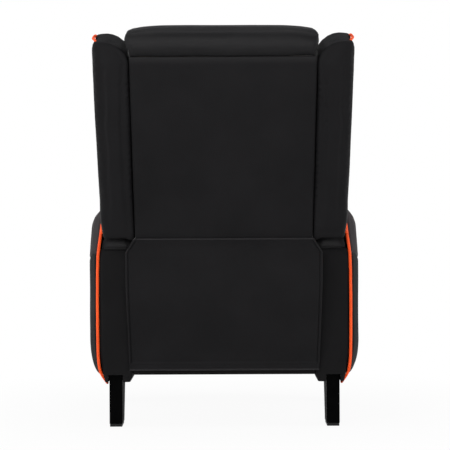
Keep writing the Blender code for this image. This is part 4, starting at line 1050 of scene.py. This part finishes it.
def flapPlace(u, v):
    look = flapSettings
    u, v = shareFine(u, *look["fineColumns"]), shareFine(v, *look["fineRows"])
    across = 2 * u - 1
    z = between(v, look["low"], look["top"])
    corner = look["top"] - look["cut"]
    half = between(min(v * look["widens"], 1), look["halfLow"], look["half"])
    half += (look["halfTop"] - look["half"]) * max(z - corner, 0) / look["cut"]
    x = half * across
    y = between(v, look["rear"], flapTopDepth())
    y += look["sag"] * sin(pi * v) ** 2 * (1 - look["sideSag"] * abs(across))
    wide, tall = look["waveScale"]
    spot = Vector((x * wide, 0, z * tall))
    wave, smallWave = look["waves"]
    loose = min(1, (1 - v) * look["heldFrom"])
    y += (wave * noise.noise(spot) + smallWave * noise.noise(spot * 3)) * loose
    amount, scale, where, least = look["hemWave"]  # the free hem waves a little
    y += amount * (1 - v) ** 3 * max(noise.noise(Vector((x * scale, where, 0))), least)
    side = (half - abs(x)) * (look["cutSlope"] if z > corner else 1)
    low, fromTop = z - look["low"], look["top"] - z  # distances to the free edges
    curl, reach = look["curl"]
    y += curl * exp(-side / reach) * loose
    y += max(hemLift(side, look["hem"]), hemLift(low, look["hemLow"], look["flare"]), key=abs)
    rim, rise, far = look["topFold"]
    y += rise * roundedRim(fromTop, rim) * exp(-(fromTop / far) ** 2)
    start, width, height = look["bead"]
    y += height * exp(-((min(side, low, fromTop) - start) / width) ** 2)
    return Vector((-x, y, z))


def makeFlapStitches(flap):
    look = flapSettings
    off, half, aside = look["stitchRays"], look["stitchHalf"], look["sideStitchIn"]
    z = look["low"] + look["hemLow"] - look["stitchIn"]
    lines = {"low": (Vector((-half, off, z)), Vector((half, off, z)))}
    for side, s in sides:
        lines[side] = (Vector((s * (look["halfLow"] - aside), off, look["low"] + look["stitchUp"])),
                       Vector((s * (look["half"] - aside), off, look["top"] - look["cut"])))
    return [stitchRow("flapStitches." + name, flap, evenly(*line, look["stitchPitch"]), Vector((0, -1, 0)))
            for name, line in lines.items()]


def makeFlap():
    look = flapSettings
    flap = pieceFromBmesh("rearFlap", gridOf(look["columns"], look["rows"], flapPlace), flapLeather)
    modify(flap, "SOLIDIFY", thickness=look["thick"], offset=0)
    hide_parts("rear_flap")
    rows = makeFlapStitches(flap)
    start, end = look["bend"]
    for piece in [flap] + rows:
        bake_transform(piece)
        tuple(start)
        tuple(end)


makeFlap()


print("stage: floor and light")
floorSettings = {
    "size": 12,
    "paint": (0.74, 0.74, 0.74, 1), "rough": 0.9,
    "nearGlow": 0.94,  # share of plain white beside the chair, where its shadow shows
    "shadowReach": (0.45, 1.25),  # metres from the middle over which the floor turns to plain white
}


def makeFloor():
    look = floorSettings
    shade = Shade(bpy.data.materials.new("floorPaint"))
    flat = shade.add("ShaderNodeVectorMath", {"operation": "MULTIPLY"}, {0: shade.place, 1: (1, 1, 0)})
    away = shade.add("ShaderNodeVectorMath", {"operation": "LENGTH"}, {0: flat}, "Value")
    glow = between(shade.ramp(away, *look["shadowReach"]), look["nearGlow"], 1)
    white = shade.add("ShaderNodeEmission", {}, {"Color": (1, 1, 1, 1), "Strength": 1.0})
    shade.finish(Base_Color=look["paint"], Roughness=look["rough"], Specular_IOR_Level=0.0)
    both = shade.add("ShaderNodeMixShader", {}, {0: glow * shade.seenRay(),
                                                 1: Wire(shade, shade.surface.outputs[0]), 2: white})
    shade.feed(shade.tree.nodes["Material Output"].inputs["Surface"], both)
    bm = bmesh.new()
    bmesh.ops.create_grid(bm, x_segments=1, y_segments=1, size=look["size"])
    pieceFromBmesh("floorPlane", bm, shade.owner)


worldSettings = {
    "light": 0.70,
    "wallTop": 8.0,  # degrees above the level up to which the room's walls are plain white
    "ceilingFrom": 30.0,
    "ceiling": (0.20, 0.20, 0.21, 1),
}


def makeWorld():
    look = worldSettings
    scene.world = bpy.data.worlds.new("studio")
    shade = Shade(scene.world)
    shade.tree.nodes.clear()
    shade.place = shade.add("ShaderNodeTexCoord", {}, {}, "Generated")  # for a world, the way looked
    up = shade.ramp(shade.along("Z"), sin(radians(look["wallTop"])), sin(radians(look["ceilingFrom"])))
    wall = shade.blendColor(up, (1, 1, 1, 1), look["ceiling"])
    seen = shade.add("ShaderNodeBackground", {}, {"Color": wall, "Strength": 1.0})
    light = shade.add("ShaderNodeBackground", {}, {"Color": wall, "Strength": look["light"]})
    both = shade.add("ShaderNodeMixShader", {}, {0: shade.seenRay(), 1: light, 2: seen})
    out = shade.tree.nodes.new("ShaderNodeOutputWorld")
    shade.feed(out.inputs["Surface"], both)


makeFloor()
makeWorld()
addLamps()
addCamera()
dressNodes()
